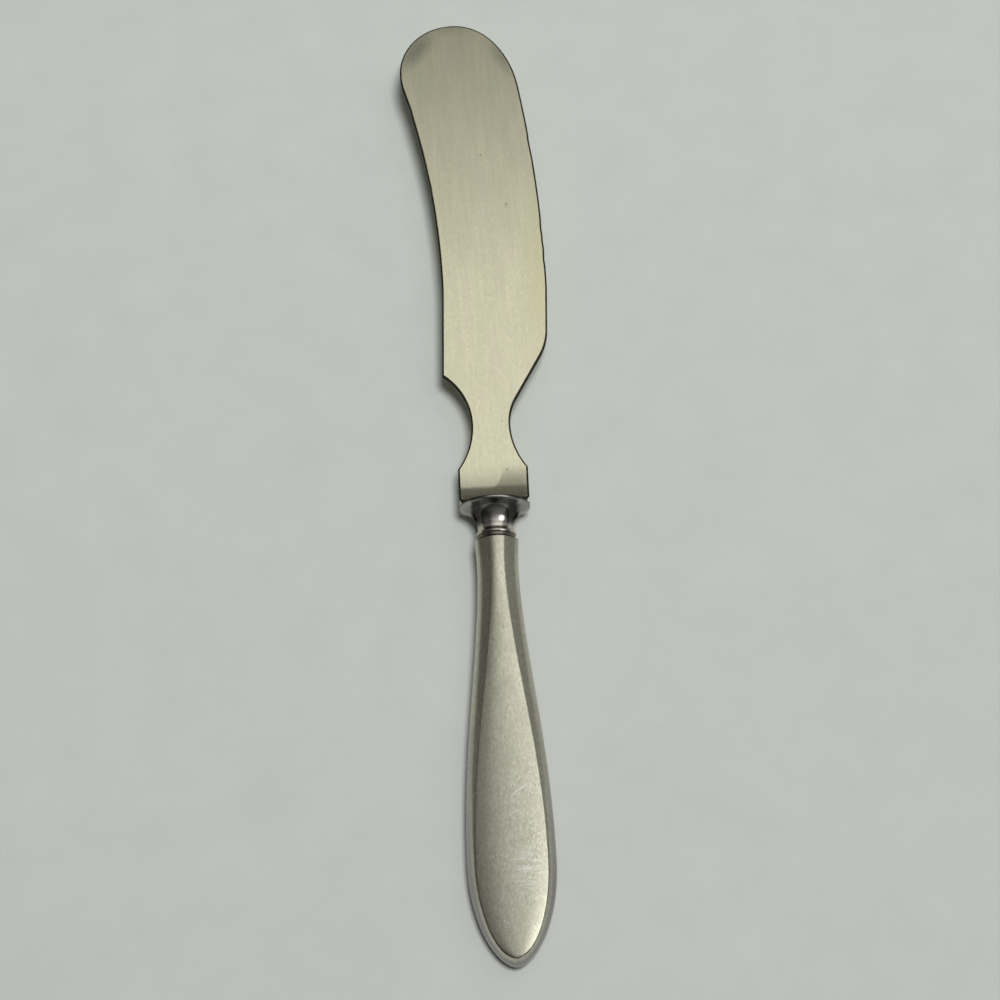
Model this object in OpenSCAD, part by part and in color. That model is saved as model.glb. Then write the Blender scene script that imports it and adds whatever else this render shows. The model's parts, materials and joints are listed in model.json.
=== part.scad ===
// Butter knife with a hollow handle. A flat blade with a sweeping tip stands on a
// turned trumpet bolster. The blade's tang runs through the bolster into the handle,
// which is two pressed shells soldered along their middle and filled with cement.
// Lengths are in millimetres. Each piece is drawn with X to the cutting edge, Y to the
// tip and Z out of the face, and Y is zero where the blade's foot meets the bolster.
// The knife is then laid on its bolster's rim and the back of its handle.

/* [Blade] */
// Length of the blade from its foot to the tip
blade_length = 84.5; // [78:0.1:92]
// Thickness of the blade's plate
blade_thickness = 1.1; // [0.9:0.05:1.6]
// Reach of the cutting edge from the knife's axis, where it is widest
edge_reach = 10; // [9.6:0.05:12]
// Reach of the back from the axis, where it is nearest
back_reach = 6.75; // [6:0.05:9]
// Height above the foot at which both long sides run straight up
fair_height = 36.5; // [32:0.5:45]
// How far the back has swept outwards where the tip's rounding starts
back_sweep = 5.05; // [2:0.05:7]
// How far the cutting edge has drawn inwards there
edge_draw = 2.9; // [1:0.05:5]
// Length of the rounded tip along the knife
tip_length = 11.5; // [9:0.1:16]
// Distance of the tip's crest from the axis, towards the back
tip_crest = 3.3; // [1:0.1:6]
// Width of the bevel that breaks the plate's edges
edge_bevel = 0.28; // [0.1:0.02:0.4]

/* [Foot and waist] */
// Width of the foot that stands on the bolster
foot_width = 10.9; // [9:0.1:12]
// Height of the foot's straight sides
foot_length = 6.2; // [4.2:0.1:8]
// Width of the cut at the foot's two lower corners
corner_cut_width = 0.7; // [0.3:0.05:1.2]
// Height of that cut
corner_cut_height = 1; // [0.5:0.1:2]
// Width of the blade at its waist
waist_width = 6.1; // [5:0.1:8]
// Height of the waist above the foot
waist_height = 13.5; // [11:0.1:14.5]
// Reach of the heel's sharp corner from the axis
heel_reach = 7.3; // [6:0.1:10]
// Height of the heel's corner
heel_height = 22; // [18:0.1:26]
// Height at which the shoulder under the cutting edge starts
shoulder_low = 17.6; // [16:0.1:19]
// Reach of that start from the axis
shoulder_low_reach = 4.15; // [3.8:0.05:5]
// Height at which the shoulder meets the cutting edge
shoulder_high = 26.7; // [23:0.1:31]
// Reach of that meeting from the axis
shoulder_reach = 9.55; // [8:0.05:9.6]
// Radius of the corner between shoulder and cutting edge
shoulder_round = 9.5; // [3:0.1:12]
// Length of the ramp that thickens the foot towards the bolster
ramp_length = 3.2; // [2.2:0.1:4]
// Height of the ramp over each face of the plate
ramp_rise = 1.6; // [0.8:0.1:2]

/* [Tang] */
// Width of the tang
tang_width = 3.6; // [2.5:0.1:4]
// Length of the tang from the blade's foot
tang_length = 34; // [20:0.5:48]

/* [Bolster] */
// Diameter of the bolster's flange
flange_diameter = 11; // [10:0.1:13]
// Thickness of the flange's rim
rim_thickness = 0.45; // [0.35:0.05:0.9]
// Radius of the rounding on the rim's two edges
rim_round = 0.1; // [0.05:0.01:0.15]
// Diameter of the bolster's neck
neck_diameter = 5.6; // [5.2:0.1:6]
// Distance from the blade's foot to the start of the neck
neck_start = 3.6; // [2.5:0.1:3.6]
// Length of the neck's straight part
neck_length = 0.4; // [0.2:0.1:0.4]
// Diameter of the bead round the bolster's foot
bead_diameter = 6.2; // [6:0.1:6.6]
// Thickness of the bead
bead_thickness = 0.6; // [0.4:0.05:0.7]
// How far the bead stands out of the collar
bead_rise = 0.15; // [0.1:0.01:0.2]
// Length of the collar between the bead and the handle
collar_length = 0.5; // [0.3:0.05:0.6]
// Length of the bolster without its spigot
bolster_length = 5.6; // [5.4:0.1:8]
// Length of the spigot that plugs the handle
spigot_length = 4; // [2:0.1:6]

/* [Handle] */
// Length of the handle from its mouth to the butt
handle_length = 66; // [58:0.1:76]
// Width of the handle across the lip of its mouth
mouth_width = 6.84; // [6.6:0.02:7.6]
// Length over which the lip draws in to the handle's neck
lip_length = 5; // [2:0.1:8]
// Width of the handle's neck
handle_neck_width = 6.4; // [5.8:0.1:6.6]
// Width of the handle at its belly
belly_width = 13.3; // [11:0.1:16]
// Distance of the belly from the mouth
belly_place = 50.6; // [44:0.1:54]
// Thickness of the handle at its mouth
mouth_thickness = 5.7; // [5.2:0.1:6.4]
// Thickness of the handle at its belly
belly_thickness = 6.2; // [5.4:0.1:7.4]
// Thickness of the handle at its butt
butt_thickness = 5; // [4:0.1:6]
// Width of the side, seen from the front, at the mouth
mouth_side = 2.1; // [1.6:0.05:2.4]
// Width of the side at the belly
belly_side = 1.3; // [0.8:0.05:2]
// Width of the side round the butt
butt_side = 1; // [0.7:0.05:1.6]
// Thickness of the shells' metal
wall = 0.5; // [0.35:0.05:0.7]

/* [Joints] */
// Gap round the tang in the bolster's slot and in the cement
tang_clearance = 0.05; // [0.02:0.01:0.1]
// Gap round the spigot that solder fills
spigot_gap = 0.12; // [0.06:0.01:0.2]
// Length of the solder round the spigot
spigot_solder = 1.5; // [0.8:0.1:2]
// Thickness of the solder between the bolster's foot and the mouth
mouth_gap = 0.15; // [0.08:0.01:0.25]
// How far solder lies back from the outside of its joint
solder_recess = 0.12; // [0.05:0.01:0.2]
// Thickness of the solder between the two shells
seam_gap = 0.1; // [0.06:0.01:0.2]
// Gap between the cement and the metal round it
cement_gap = 0.05; // [0.02:0.01:0.1]

/* [Hidden] */
$fn = 72;
overrun = 0.4 * wall;

// Steps along the blade's curves
cove_steps = 9;
round_steps = 7;
ramp_steps = 9;
side_steps = 12;
tip_steps = 12;
// Handles of the tip's two curves, as shares of the tip's length and half width
edge_rise_share = 0.44;
edge_crest_share = 0.59;
back_rise_share = 0.56;
back_crest_share = 0.71;
// Most of a straight stretch that one rounding may take
round_share = 0.98;
// Part of a quarter turn that the trumpet's curve takes, in degrees, and its steps
trumpet_sweep = 62;
trumpet_steps = 9;

// Steps along and across the handle
body_steps = 20;
butt_steps = 10;
rows = body_steps + butt_steps;
curve_steps = 6;
face_steps = 8;
columns = 2 * curve_steps + face_steps + 1;
// Height of a face's crown over its edges, as a share of the face's half width, and what
// the mouth adds to that, which fades over a length
crown_share = 0.13;
mouth_crown_share = 0.09;
crown_fade = 9;
// Height of the side's upright part, as a share of the edge's height
upright_share = 0.35;
// Slope of the side's upper part in degrees, and its shares of the side at mouth and belly
upper_slope = 35;
mouth_upper_share = 0.75;
belly_upper_share = 0.5;
// How early the handle widens, how late its side narrows, and how late the side's upper part does
widen_power = 0.85;
side_power = 1.3;
upper_power = 3;
// How pointed the butt's outline and its face are
butt_power = 1.15;
face_power = 1.05;

plate_half = blade_thickness / 2;
foot_half = foot_width / 2;
waist_half = waist_width / 2;
flange_radius = flange_diameter / 2;
neck_radius = neck_diameter / 2;
bead_half = bead_thickness / 2;
collar_radius = bead_diameter / 2 - bead_rise;
tip_start = blade_length - tip_length;
neck_end = neck_start + neck_length;
mouth_y = -bolster_length - mouth_gap;
butt_y = mouth_y - handle_length;

// Plain curves
function unit(v) = v / norm(v);
function turned(v) = [-v.y, v.x];
function flipped(points) = [for (p = points) [-p.x, p.y]];
function backwards(list) = [for (i = [len(list) - 1:-1:0]) list[i]];
function cubic(a, b, c, d, count) = [
    for (i = [0:count])
        let (t = i / count, s = 1 - t)
        s * s * s * a + 3 * s * s * t * b + 3 * s * t * t * c + t * t * t * d
];
// Arc that leaves a point straight along Y and reaches another point
function hollow(start, end, count) =
    let (
        across = end.x - start.x,
        along = end.y - start.y,
        radius = (across * across + along * along) / (2 * across),
        sweep = asin(along / radius)
    )
    [for (i = [0:count])
        start + radius * [1 - cos(sweep * i / count), sin(sweep * i / count)]];
// Arc that rounds the corner b between a and c
function rounded(a, b, c, radius, count) =
    let (
        u = unit(a - b),
        v = unit(c - b),
        half = acos(u * v) / 2,
        room = round_share * min(norm(a - b), norm(c - b)) / 2,
        cut = min(radius / tan(half), room),
        middle = b + unit(u + v) * cut / cos(half),
        from = b + u * cut - middle,
        to = b + v * cut - middle,
        sweep = 180 - 2 * half
    )
    [for (i = [0:count])
        middle + (sin(sweep * (1 - i / count)) * from + sin(sweep * i / count) * to) / sin(sweep)];
// Closed outline moved inwards by a distance
function inset(path, distance) = [
    for (i = [0:len(path) - 1])
        let (
            before = path[(i + len(path) - 1) % len(path)],
            after = path[(i + 1) % len(path)],
            m = turned(unit(path[i] - before)) + turned(unit(after - path[i]))
        )
        path[i] + distance * 2 * m / (m * m)
];

// Outline of the blade, up the cutting edge and down the back
waist_edge = [waist_half, waist_height];
shoulder_foot = [shoulder_low_reach, shoulder_low];
shoulder_top = [shoulder_reach, shoulder_high];
fair_edge = [edge_reach, fair_height];
fair_back = [back_reach, fair_height];
edge_tip = [edge_reach - edge_draw, tip_start];
back_tip = [-back_reach - back_sweep, tip_start];
crest = [-tip_crest, blade_length];
edge_side = hollow(fair_edge, edge_tip, side_steps);
back_side = flipped(hollow(fair_back, [-back_tip.x, tip_start], side_steps));
edge_lean = unit(edge_side[side_steps] - edge_side[side_steps - 1]);
back_lean = unit(back_side[side_steps] - back_side[side_steps - 1]);
foot_corner = [foot_half, foot_length];
heel = [heel_reach, heel_height];
foot_side = concat(
    [[foot_half - corner_cut_width, 0]],
    [for (i = [0:ramp_steps])
        [foot_half, corner_cut_height + (ramp_length - corner_cut_height) * i / ramp_steps]]
);
blade_outline = concat(
    foot_side,
    backwards(hollow(waist_edge, foot_corner, cove_steps)),
    [for (p = hollow(waist_edge, shoulder_foot, cove_steps)) if (p != waist_edge) p],
    rounded(shoulder_foot, shoulder_top, fair_edge, shoulder_round, round_steps),
    edge_side,
    [for (p = cubic(
        edge_tip,
        edge_tip + edge_lean * tip_length * edge_rise_share,
        crest + [(edge_tip.x - crest.x) * edge_crest_share, 0],
        crest, tip_steps)) if (p != edge_tip) p],
    [for (p = cubic(
        crest,
        crest + [(back_tip.x - crest.x) * back_crest_share, 0],
        back_tip + back_lean * tip_length * back_rise_share,
        back_tip, tip_steps)) if (p != crest && p != back_tip) p],
    backwards(back_side),
    flipped(backwards(hollow(waist_edge, heel, cove_steps))),
    [for (p = flipped(hollow(waist_edge, foot_corner, cove_steps))) if (p.y != waist_height) p],
    flipped(backwards(foot_side))
);
// Triangles across an outline, between its two sides, which both rise along Y. They are
// given as lists of places in the outline, lowest first.
function ladder(outline, right, left, i, j) =
    i == len(right) - 1 && j == len(left) - 1 ? []
    : j == len(left) - 1 || (i < len(right) - 1 && outline[right[i + 1]].y < outline[left[j + 1]].y)
        ? concat([[right[i], right[i + 1], left[j]]], ladder(outline, right, left, i + 1, j))
        : concat([[right[i], left[j + 1], left[j]]], ladder(outline, right, left, i, j + 1));
// Half thickness of the blade at a height, with the ramp that thickens the foot
ramp_radius = (ramp_length * ramp_length + ramp_rise * ramp_rise) / (2 * ramp_rise);
function blade_half(y) =
    let (along = max(ramp_length - y, 0))
    plate_half + ramp_radius - sqrt(ramp_radius * ramp_radius - along * along);

// Half width, half thickness and place of the handle at one row, for a skin that lies
// in from the outside by a margin and starts at a depth from the mouth
function ease(t) = (1 - cos(180 * t)) / 2;
function depth(row, start) = start + (belly_place - start) * min(row / body_steps, 1);
function turn(row) = 90 * max(row - body_steps, 0) / butt_steps;
function taper(row, power) = pow(cos(turn(row)), power);
function widening(d) =
    ease(pow(max(d - lip_length, 0) / (belly_place - lip_length), widen_power));
function lip(d) = pow(max(1 - d / lip_length, 0), 2) * (mouth_width - handle_neck_width) / 2;
function half_width(d) =
    (handle_neck_width + (belly_width - handle_neck_width) * widening(d)) / 2;
function side_width(d) =
    mouth_side + (belly_side - mouth_side) * ease(pow(d / belly_place, side_power));
function upper_share(d) =
    mouth_upper_share + (belly_upper_share - mouth_upper_share) * pow(d / belly_place, upper_power);
function crown(d) = crown_share + mouth_crown_share * exp(-d / crown_fade);
function half_thickness(row, d) =
    (mouth_thickness + (belly_thickness - mouth_thickness) * ease(d / belly_place)
        + (butt_thickness - belly_thickness) * (1 - cos(turn(row)))) / 2;
function seam_depth(row, start, margin) =
    depth(row, start) + (handle_length - margin - belly_place) * sin(turn(row));
function edge_depth(row, start, margin) =
    depth(row, start) + (handle_length - margin - butt_side - belly_place) * sin(turn(row));

// Points over one half of the handle's section, from the back's seam to the edge's
function section(row, start, margin, lipped, floor) =
    let (
        d = depth(row, start),
        whole = half_width(d) + (lipped ? lip(d) : 0),
        wide = (whole - margin) * taper(row, butt_power),
        flat = (whole - side_width(d) - margin / 2) * taper(row, face_power),
        top = half_thickness(row, d) - margin,
        edge_z = top - crown(d) * flat,
        seam = [wide, mouth_y - seam_depth(row, start, margin), floor],
        upright = [seam.x, seam.y, floor + (edge_z - floor) * upright_share],
        edge = [flat, mouth_y - edge_depth(row, start, margin), edge_z],
        out = [seam.x - edge.x, seam.y - edge.y, 0] * upper_share(d),
        upper = edge + out - [0, 0, norm(out) * tan(upper_slope)],
        side = cubic(seam, upright, upper, edge, curve_steps)
    )
    concat(
        [for (i = [0:curve_steps - 1]) [-side[i].x, side[i].y, side[i].z]],
        [for (i = [0:face_steps])
            let (s = 2 * i / face_steps - 1)
            [flat * s, edge.y, top - crown(d) * flat * s * s]],
        [for (i = [curve_steps - 1:-1:0]) side[i]]
    );
// Closed outline of the handle's section at one row, in X and Z
function ring(row, start, margin, lipped) =
    let (half = section(row, start, margin, lipped, 0))
    concat(
        [for (p = half) [p.x, p.z]],
        [for (i = [columns - 2:-1:1]) [half[i].x, -half[i].z]]
    );
// Outline of the shells' seam, seen from the front
function seam_outline(margin, lipped) =
    let (halves = [for (row = [0:rows]) section(row, 0, margin, lipped, 0)])
    concat(
        [for (row = [0:rows]) [halves[row][0].x, halves[row][0].y]],
        [for (row = [rows - 1:-1:0]) [halves[row][columns - 1].x, halves[row][columns - 1].y]]
    );

// Faces of a skin of points, two triangles to a cell, less those with no area
function triangles(a, b, c, d) =
    [for (f = [[a, b, c], [a, c, d]]) if (f[0] != f[1] && f[1] != f[2] && f[2] != f[0]) f];
// Place of a point in a skin whose last row closes to one upright line
function folded(column) = min(column, columns - 1 - column, curve_steps);
function skin_point(row, column) =
    row < rows ? row * columns + column : rows * columns + folded(column);
skin_count = rows * columns + curve_steps + 1;
function skin(start, margin, lipped, floor) = [
    for (row = [0:rows])
        let (points = section(row, start, margin, lipped, floor))
        for (column = [0:row < rows ? columns - 1 : curve_steps]) points[column]
];

// Attitude of the knife at rest on the flange's rim and on the back of the handle
rim_y = rim_round - rim_thickness;
rest_tilt = min([
    for (row = [1:rows])
        atan((flange_radius - half_thickness(row, depth(row, 0)))
            / (rim_y - mouth_y + edge_depth(row, 0, 0)))
]);
rest_height = flange_radius * cos(rest_tilt) - rim_y * sin(rest_tilt);
outline_x = [for (p = blade_outline) p.x];
middle_x = (max(outline_x) + min(outline_x)) / 2;
middle_y = (blade_length + butt_y) / 2 * cos(rest_tilt);

module laid() {
    translate([-middle_x, -middle_y, rest_height]) rotate([rest_tilt, 0, 0]) children();
}

// Prism of an outline drawn in X and Z, which runs from a place towards the butt
module along_handle(from, length) {
    translate([0, from, 0]) rotate([90, 0, 0]) linear_extrude(length) children();
}

// Plate and foot of the blade, with the edges bevelled on both faces
module plate() {
    count = len(blade_outline);
    top = [for (i = [0:count - 1]) if (blade_outline[i] == crest) i][0];
    inner = inset(blade_outline, edge_bevel);
    sheet = ladder(inner, [for (i = [0:top]) i], [for (i = [count - 1:-1:top + 1]) i], 0, 0);
    levels = [
        [for (p = inner) [p.x, p.y, -blade_half(p.y)]],
        [for (p = blade_outline) [p.x, p.y, edge_bevel - blade_half(p.y)]],
        [for (p = blade_outline) [p.x, p.y, blade_half(p.y) - edge_bevel]],
        [for (p = inner) [p.x, p.y, blade_half(p.y)]],
    ];
    polyhedron(
        points = [for (level = levels) for (p = level) p],
        faces = concat(
            sheet,
            [for (f = sheet) [for (i = [2:-1:0]) 3 * count + f[i]]],
            [for (level = [0:2]) for (i = [0:count - 1])
                let (a = level * count + i, b = level * count + (i + 1) % count)
                for (f = triangles(a, a + count, b + count, b)) f]
        )
    );
}

module blade() {
    color([0.74, 0.72, 0.62]) laid() union() {
        plate();
        translate([-tang_width / 2, -tang_length, -plate_half])
            cube([tang_width, tang_length + corner_cut_height, blade_thickness]);
    }
}

// Room for the tang, from one place along the knife down to another
module tang_room(top, bottom) {
    width = tang_width + 2 * tang_clearance;
    thickness = blade_thickness + 2 * tang_clearance;
    translate([-width / 2, bottom, -thickness / 2]) cube([width, top - bottom, thickness]);
}

// Turned body of the bolster: flange, trumpet, neck, bead and collar
module trumpet() {
    collar_top = collar_length - bolster_length;
    cove_length = -collar_top - bead_thickness - neck_end;
    lip_radius = flange_radius - rim_round;
    flare = (lip_radius - neck_radius) / (1 - cos(trumpet_sweep));
    drop = (neck_start - rim_thickness) / sin(trumpet_sweep);
    rotate([-90, 0, 0]) rotate_extrude() polygon(concat(
        [[0, 0]],
        [for (a = [90:-30:0])
            [lip_radius + rim_round * cos(a), rim_round * sin(a) - rim_round]],
        [for (a = [0:30:90])
            [lip_radius + rim_round * cos(a), rim_y - rim_round * sin(a)]],
        [for (i = [trumpet_steps - 1:-1:0])
            let (a = trumpet_sweep * i / trumpet_steps)
            [neck_radius + flare * (1 - cos(a)), drop * sin(a) - neck_start]],
        [for (a = [0:15:90])
            [collar_radius - (collar_radius - neck_radius) * cos(a), -neck_end - cove_length * sin(a)]],
        [for (a = [60:-30:-90])
            [collar_radius + bead_rise * cos(a), collar_top + bead_half * (1 + sin(a))]],
        [[collar_radius, -bolster_length], [0, -bolster_length]]
    ));
}

module bolster() {
    color([0.6, 0.6, 0.6]) laid() difference() {
        union() {
            trumpet();
            along_handle(overrun - bolster_length, overrun + mouth_gap + spigot_length)
                polygon(ring(0, 0, wall + spigot_gap, false));
        }
        tang_room(overrun, mouth_y - spigot_length - overrun);
    }
}

// One pressed half of the handle, its rim half a seam above the middle
module shell() {
    floor = seam_gap / 2;
    polyhedron(
        points = concat(skin(0, 0, true, floor), skin(0, wall, false, floor)),
        faces = concat(
            [for (row = [0:rows - 1]) for (column = [0:columns - 2])
                let (
                    a = skin_point(row, column),
                    b = skin_point(row, column + 1),
                    c = skin_point(row + 1, column + 1),
                    d = skin_point(row + 1, column)
                )
                for (f = concat(
                    triangles(a, b, c, d),
                    triangles(a + skin_count, d + skin_count, c + skin_count, b + skin_count)
                )) f],
            [for (row = [0:rows - 1])
                let (
                    a = skin_point(row, 0),
                    b = skin_point(row + 1, 0),
                    c = skin_point(row, columns - 1),
                    d = skin_point(row + 1, columns - 1)
                )
                for (f = concat(
                    triangles(a, b, b + skin_count, a + skin_count),
                    triangles(c, c + skin_count, d + skin_count, d)
                )) f],
            [for (column = [0:columns - 2])
                for (f = triangles(column, column + skin_count, column + 1 + skin_count, column + 1)) f]
        )
    );
}

module handle_front() {
    color([0.72, 0.72, 0.68]) laid() shell();
}

module handle_back() {
    color([0.66, 0.66, 0.62]) laid() mirror([0, 0, 1]) shell();
}

// Filling of the handle behind the spigot, cast round the tang
module handle_cement() {
    start = spigot_length + cement_gap;
    margin = wall + cement_gap;
    around = 2 * (columns - 1);
    upper = [for (row = [0:rows]) section(row, start, margin, false, 0)];
    points = concat(
        [for (row = [0:rows - 1]) for (i = [0:around - 1])
            i < columns ? upper[row][i]
                : let (p = upper[row][around - i]) [p.x, p.y, -p.z]],
        [for (i = [-curve_steps:curve_steps])
            let (p = upper[rows][abs(i)]) [p.x, p.y, i < 0 ? -p.z : p.z]]
    );
    function place(row, i) =
        row < rows ? row * around + i
        : i < columns ? rows * around + curve_steps + folded(i)
        : rows * around + curve_steps - folded(around - i);
    color([0.55, 0.35, 0.25]) laid() difference() {
        polyhedron(
            points = points,
            faces = concat(
                [[for (i = [around - 1:-1:0]) i]],
                [for (row = [0:rows - 1]) for (i = [0:around - 1])
                    let (j = (i + 1) % around)
                    for (f = triangles(
                        place(row, i), place(row, j), place(row + 1, j), place(row + 1, i))) f]
            )
        );
        tang_room(mouth_y, -tang_length - tang_clearance);
    }
}

// Solder in the cut corners of the blade's foot, against the flange
module blade_solder() {
    reach = blade_half(corner_cut_height) - edge_bevel;
    color([0.62, 0.62, 0.58]) laid() for (side = [0, 1]) mirror([side, 0, 0])
        translate([0, 0, -reach]) linear_extrude(2 * reach) polygon([
            [foot_half - corner_cut_width, 0],
            [foot_half, 0],
            [foot_half, corner_cut_height],
        ]);
}

// Solder between the bolster's foot and the handle, and round the start of the spigot
module mouth_solder() {
    spigot = ring(0, 0, wall + spigot_gap, false);
    color([0.35, 0.34, 0.3]) laid() {
        along_handle(-bolster_length, mouth_gap) difference() {
            polygon(ring(0, 0, solder_recess, false));
            polygon(spigot);
        }
        along_handle(mouth_y, spigot_solder) difference() {
            polygon(ring(0, 0, wall, false));
            polygon(spigot);
        }
    }
}

// Ribbon of solder between the rims of the two shells
module seam_solder() {
    color([0.45, 0.44, 0.4]) laid() translate([0, 0, -seam_gap / 2]) linear_extrude(seam_gap)
        difference() {
            polygon(seam_outline(solder_recess, true));
            polygon(seam_outline(wall, false));
        }
}

blade();
bolster();
handle_front();
handle_back();
handle_cement();
blade_solder();
mouth_solder();
seam_solder();
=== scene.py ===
"""Butter knife with a hollow handle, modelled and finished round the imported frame.

The knife is drawn in its own axes, in millimetres: X runs to the cutting edge, Y to the
tip and Z out of the front face, and Y is zero where the blade's foot meets the bolster.
Each piece is then laid in the frame's axes, in metres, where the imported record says.
"""

import functools
import json
import logging
import math
from contextlib import contextmanager
from dataclasses import dataclass
from enum import Enum
from typing import Callable, Iterator, Sequence

import bmesh
import bpy
from mathutils import Matrix, Vector

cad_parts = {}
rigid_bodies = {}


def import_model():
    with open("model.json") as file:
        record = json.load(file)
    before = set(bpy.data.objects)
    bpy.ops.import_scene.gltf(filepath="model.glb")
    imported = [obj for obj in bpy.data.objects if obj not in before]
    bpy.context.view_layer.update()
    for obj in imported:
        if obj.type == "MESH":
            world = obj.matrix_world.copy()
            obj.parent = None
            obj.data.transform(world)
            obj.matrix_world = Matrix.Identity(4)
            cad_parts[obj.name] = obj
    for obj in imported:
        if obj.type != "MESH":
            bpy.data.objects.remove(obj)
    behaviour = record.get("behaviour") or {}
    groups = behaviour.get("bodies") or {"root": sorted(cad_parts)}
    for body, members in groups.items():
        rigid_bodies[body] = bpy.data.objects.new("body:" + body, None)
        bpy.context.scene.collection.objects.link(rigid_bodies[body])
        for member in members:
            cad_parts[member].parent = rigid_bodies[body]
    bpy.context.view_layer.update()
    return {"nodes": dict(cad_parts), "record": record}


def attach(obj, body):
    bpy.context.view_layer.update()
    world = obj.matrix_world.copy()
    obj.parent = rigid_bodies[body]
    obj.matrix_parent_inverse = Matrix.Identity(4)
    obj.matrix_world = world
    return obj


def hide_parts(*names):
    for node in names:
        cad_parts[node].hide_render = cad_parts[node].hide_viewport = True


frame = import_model()

log = logging.getLogger("butter_knife")

Flat = tuple[float, float]
Spot = tuple[float, float, float]
Colour = tuple[float, float, float]
Socket = bpy.types.NodeSocket
Inputs = dict[int | str, object]

# Room in the tests that find vertices, edges and faces by their place, in millimetres.
NEAR = 0.001
SLACK = 0.01
SAME_ROW = 0.0002


class Slot(Enum):
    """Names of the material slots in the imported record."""

    BLADE = "blade_metal"
    BOLSTER = "bolster_metal"
    HANDLE = "handle_metal"
    SOLDER = "solder"


class Side(Enum):
    """The two long sides of the knife, by the sign of X."""

    EDGE = 1
    BACK = -1


# ---- Curves in the plane ----


def hollow(start: Flat, end: Flat, count: int) -> list[Flat]:
    """Arc that leaves one point straight along Y and reaches another.

    Args:
        start: Point where the arc runs along Y.
        end: Point where it ends.
        count: Number of steps.

    Returns:
        The arc's points, both ends included.
    """
    across, along = end[0] - start[0], end[1] - start[1]
    radius = (across * across + along * along) / (2 * across)
    sweep = math.asin(along / radius)
    return [
        (
            start[0] + radius * (1 - math.cos(sweep * i / count)),
            start[1] + radius * math.sin(sweep * i / count),
        )
        for i in range(count + 1)
    ]


def cubic(a: Vector, b: Vector, c: Vector, d: Vector, count: int) -> list[Flat]:
    """Cubic curve through a and d with the handles b and c.

    Args:
        a: Start.
        b: Handle of the start.
        c: Handle of the end.
        d: End.
        count: Number of steps.

    Returns:
        The curve's points, both ends included.
    """
    points = []
    for i in range(count + 1):
        t = i / count
        s = 1 - t
        p = s * s * s * a + 3 * s * s * t * b + 3 * s * t * t * c + t * t * t * d
        points.append((p.x, p.y))
    return points


def rounded(a: Vector, b: Vector, c: Vector, radius: float, count: int) -> list[Flat]:
    """Arc that rounds the corner b between a and c.

    Args:
        a: Point before the corner.
        b: The corner.
        c: Point after the corner.
        radius: Radius of the rounding.
        count: Number of steps.

    Returns:
        The arc's points, both ends included.
    """
    u, v = (a - b).normalized(), (c - b).normalized()
    half = math.acos(u.dot(v)) / 2
    room = 0.98 * min((a - b).length, (c - b).length) / 2
    cut = min(radius / math.tan(half), room)
    middle = b + (u + v).normalized() * (cut / math.cos(half))
    first, last = b + u * cut - middle, b + v * cut - middle
    sweep = math.pi - 2 * half
    points = []
    for i in range(count + 1):
        t = i / count
        turned = first * math.sin(sweep * (1 - t)) + last * math.sin(sweep * t)
        p = middle + turned / math.sin(sweep)
        points.append((p.x, p.y))
    return points


def flipped(points: Sequence[Flat]) -> list[Flat]:
    """The same points on the other side of the knife."""
    return [(-x, y) for x, y in points]


# ---- Work with Blender's tools ----


def select_none() -> None:
    """Leaves edit mode and deselects every object."""
    if bpy.context.object and bpy.context.object.mode != "OBJECT":
        bpy.ops.object.mode_set(mode="OBJECT")
    bpy.ops.object.select_all(action="DESELECT")


def take(piece: bpy.types.Object) -> bpy.types.Object:
    """Makes one object the selected and active one.

    Args:
        piece: The object.

    Returns:
        The same object.
    """
    select_none()
    piece.select_set(True)
    bpy.context.view_layer.objects.active = piece
    return piece


def edit() -> None:
    """Goes into edit mode with all of the mesh selected."""
    bpy.ops.object.mode_set(mode="EDIT")
    bpy.ops.mesh.select_mode(type="VERT")
    bpy.ops.mesh.select_all(action="SELECT")


@contextmanager
def editing(piece: bpy.types.Object) -> Iterator[None]:
    """Opens a piece in edit mode with all of its mesh selected, and closes it afterwards.

    Args:
        piece: The piece.

    Yields:
        Nothing.
    """
    take(piece)
    edit()
    yield
    bpy.ops.object.mode_set(mode="OBJECT")


def pick(kind: str, test: Callable[[object], bool]) -> None:
    """Selects the elements of the edited mesh that pass a test.

    Args:
        kind: VERT, EDGE or FACE.
        test: Takes a vertex, edge or face of the edited mesh.
    """
    bpy.ops.mesh.select_mode(type=kind)
    bpy.ops.mesh.select_all(action="DESELECT")
    mesh = bmesh.from_edit_mesh(bpy.context.object.data)
    sets = {"VERT": mesh.verts, "EDGE": mesh.edges, "FACE": mesh.faces}
    for item in [item for item in sets[kind] if test(item)]:
        item.select_set(True)
    mesh.select_flush_mode()
    bmesh.update_edit_mesh(bpy.context.object.data)


def cut_across(place: Spot, normal: Spot) -> None:
    """Cuts the selected faces of the edited mesh along a plane, and keeps both sides."""
    bpy.ops.mesh.bisect(plane_co=place, plane_no=normal)


def tidy(piece: bpy.types.Object, distance: float) -> None:
    """Merges doubles and turns all faces outwards.

    Args:
        piece: A closed mesh.
        distance: How near two points are to be one.
    """
    with editing(piece):
        bpy.ops.mesh.remove_doubles(threshold=distance)
        bpy.ops.mesh.normals_make_consistent(inside=False)


def smooth(piece: bpy.types.Object, degrees: float) -> None:
    """Shades a piece smooth, except over edges sharper than an angle."""
    take(piece)
    bpy.ops.object.shade_smooth_by_angle(angle=math.radians(degrees))


def apply(piece: bpy.types.Object, kind: str, **settings: object) -> None:
    """Adds a modifier with its settings and applies it.

    Args:
        piece: The object.
        kind: The modifier's type.
        **settings: The modifier's properties.
    """
    take(piece)
    bpy.ops.object.modifier_add(type=kind)
    modifier = piece.modifiers[-1]
    for name, value in settings.items():
        setattr(modifier, name, value)
    bpy.ops.object.modifier_apply(modifier=modifier.name)


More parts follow.
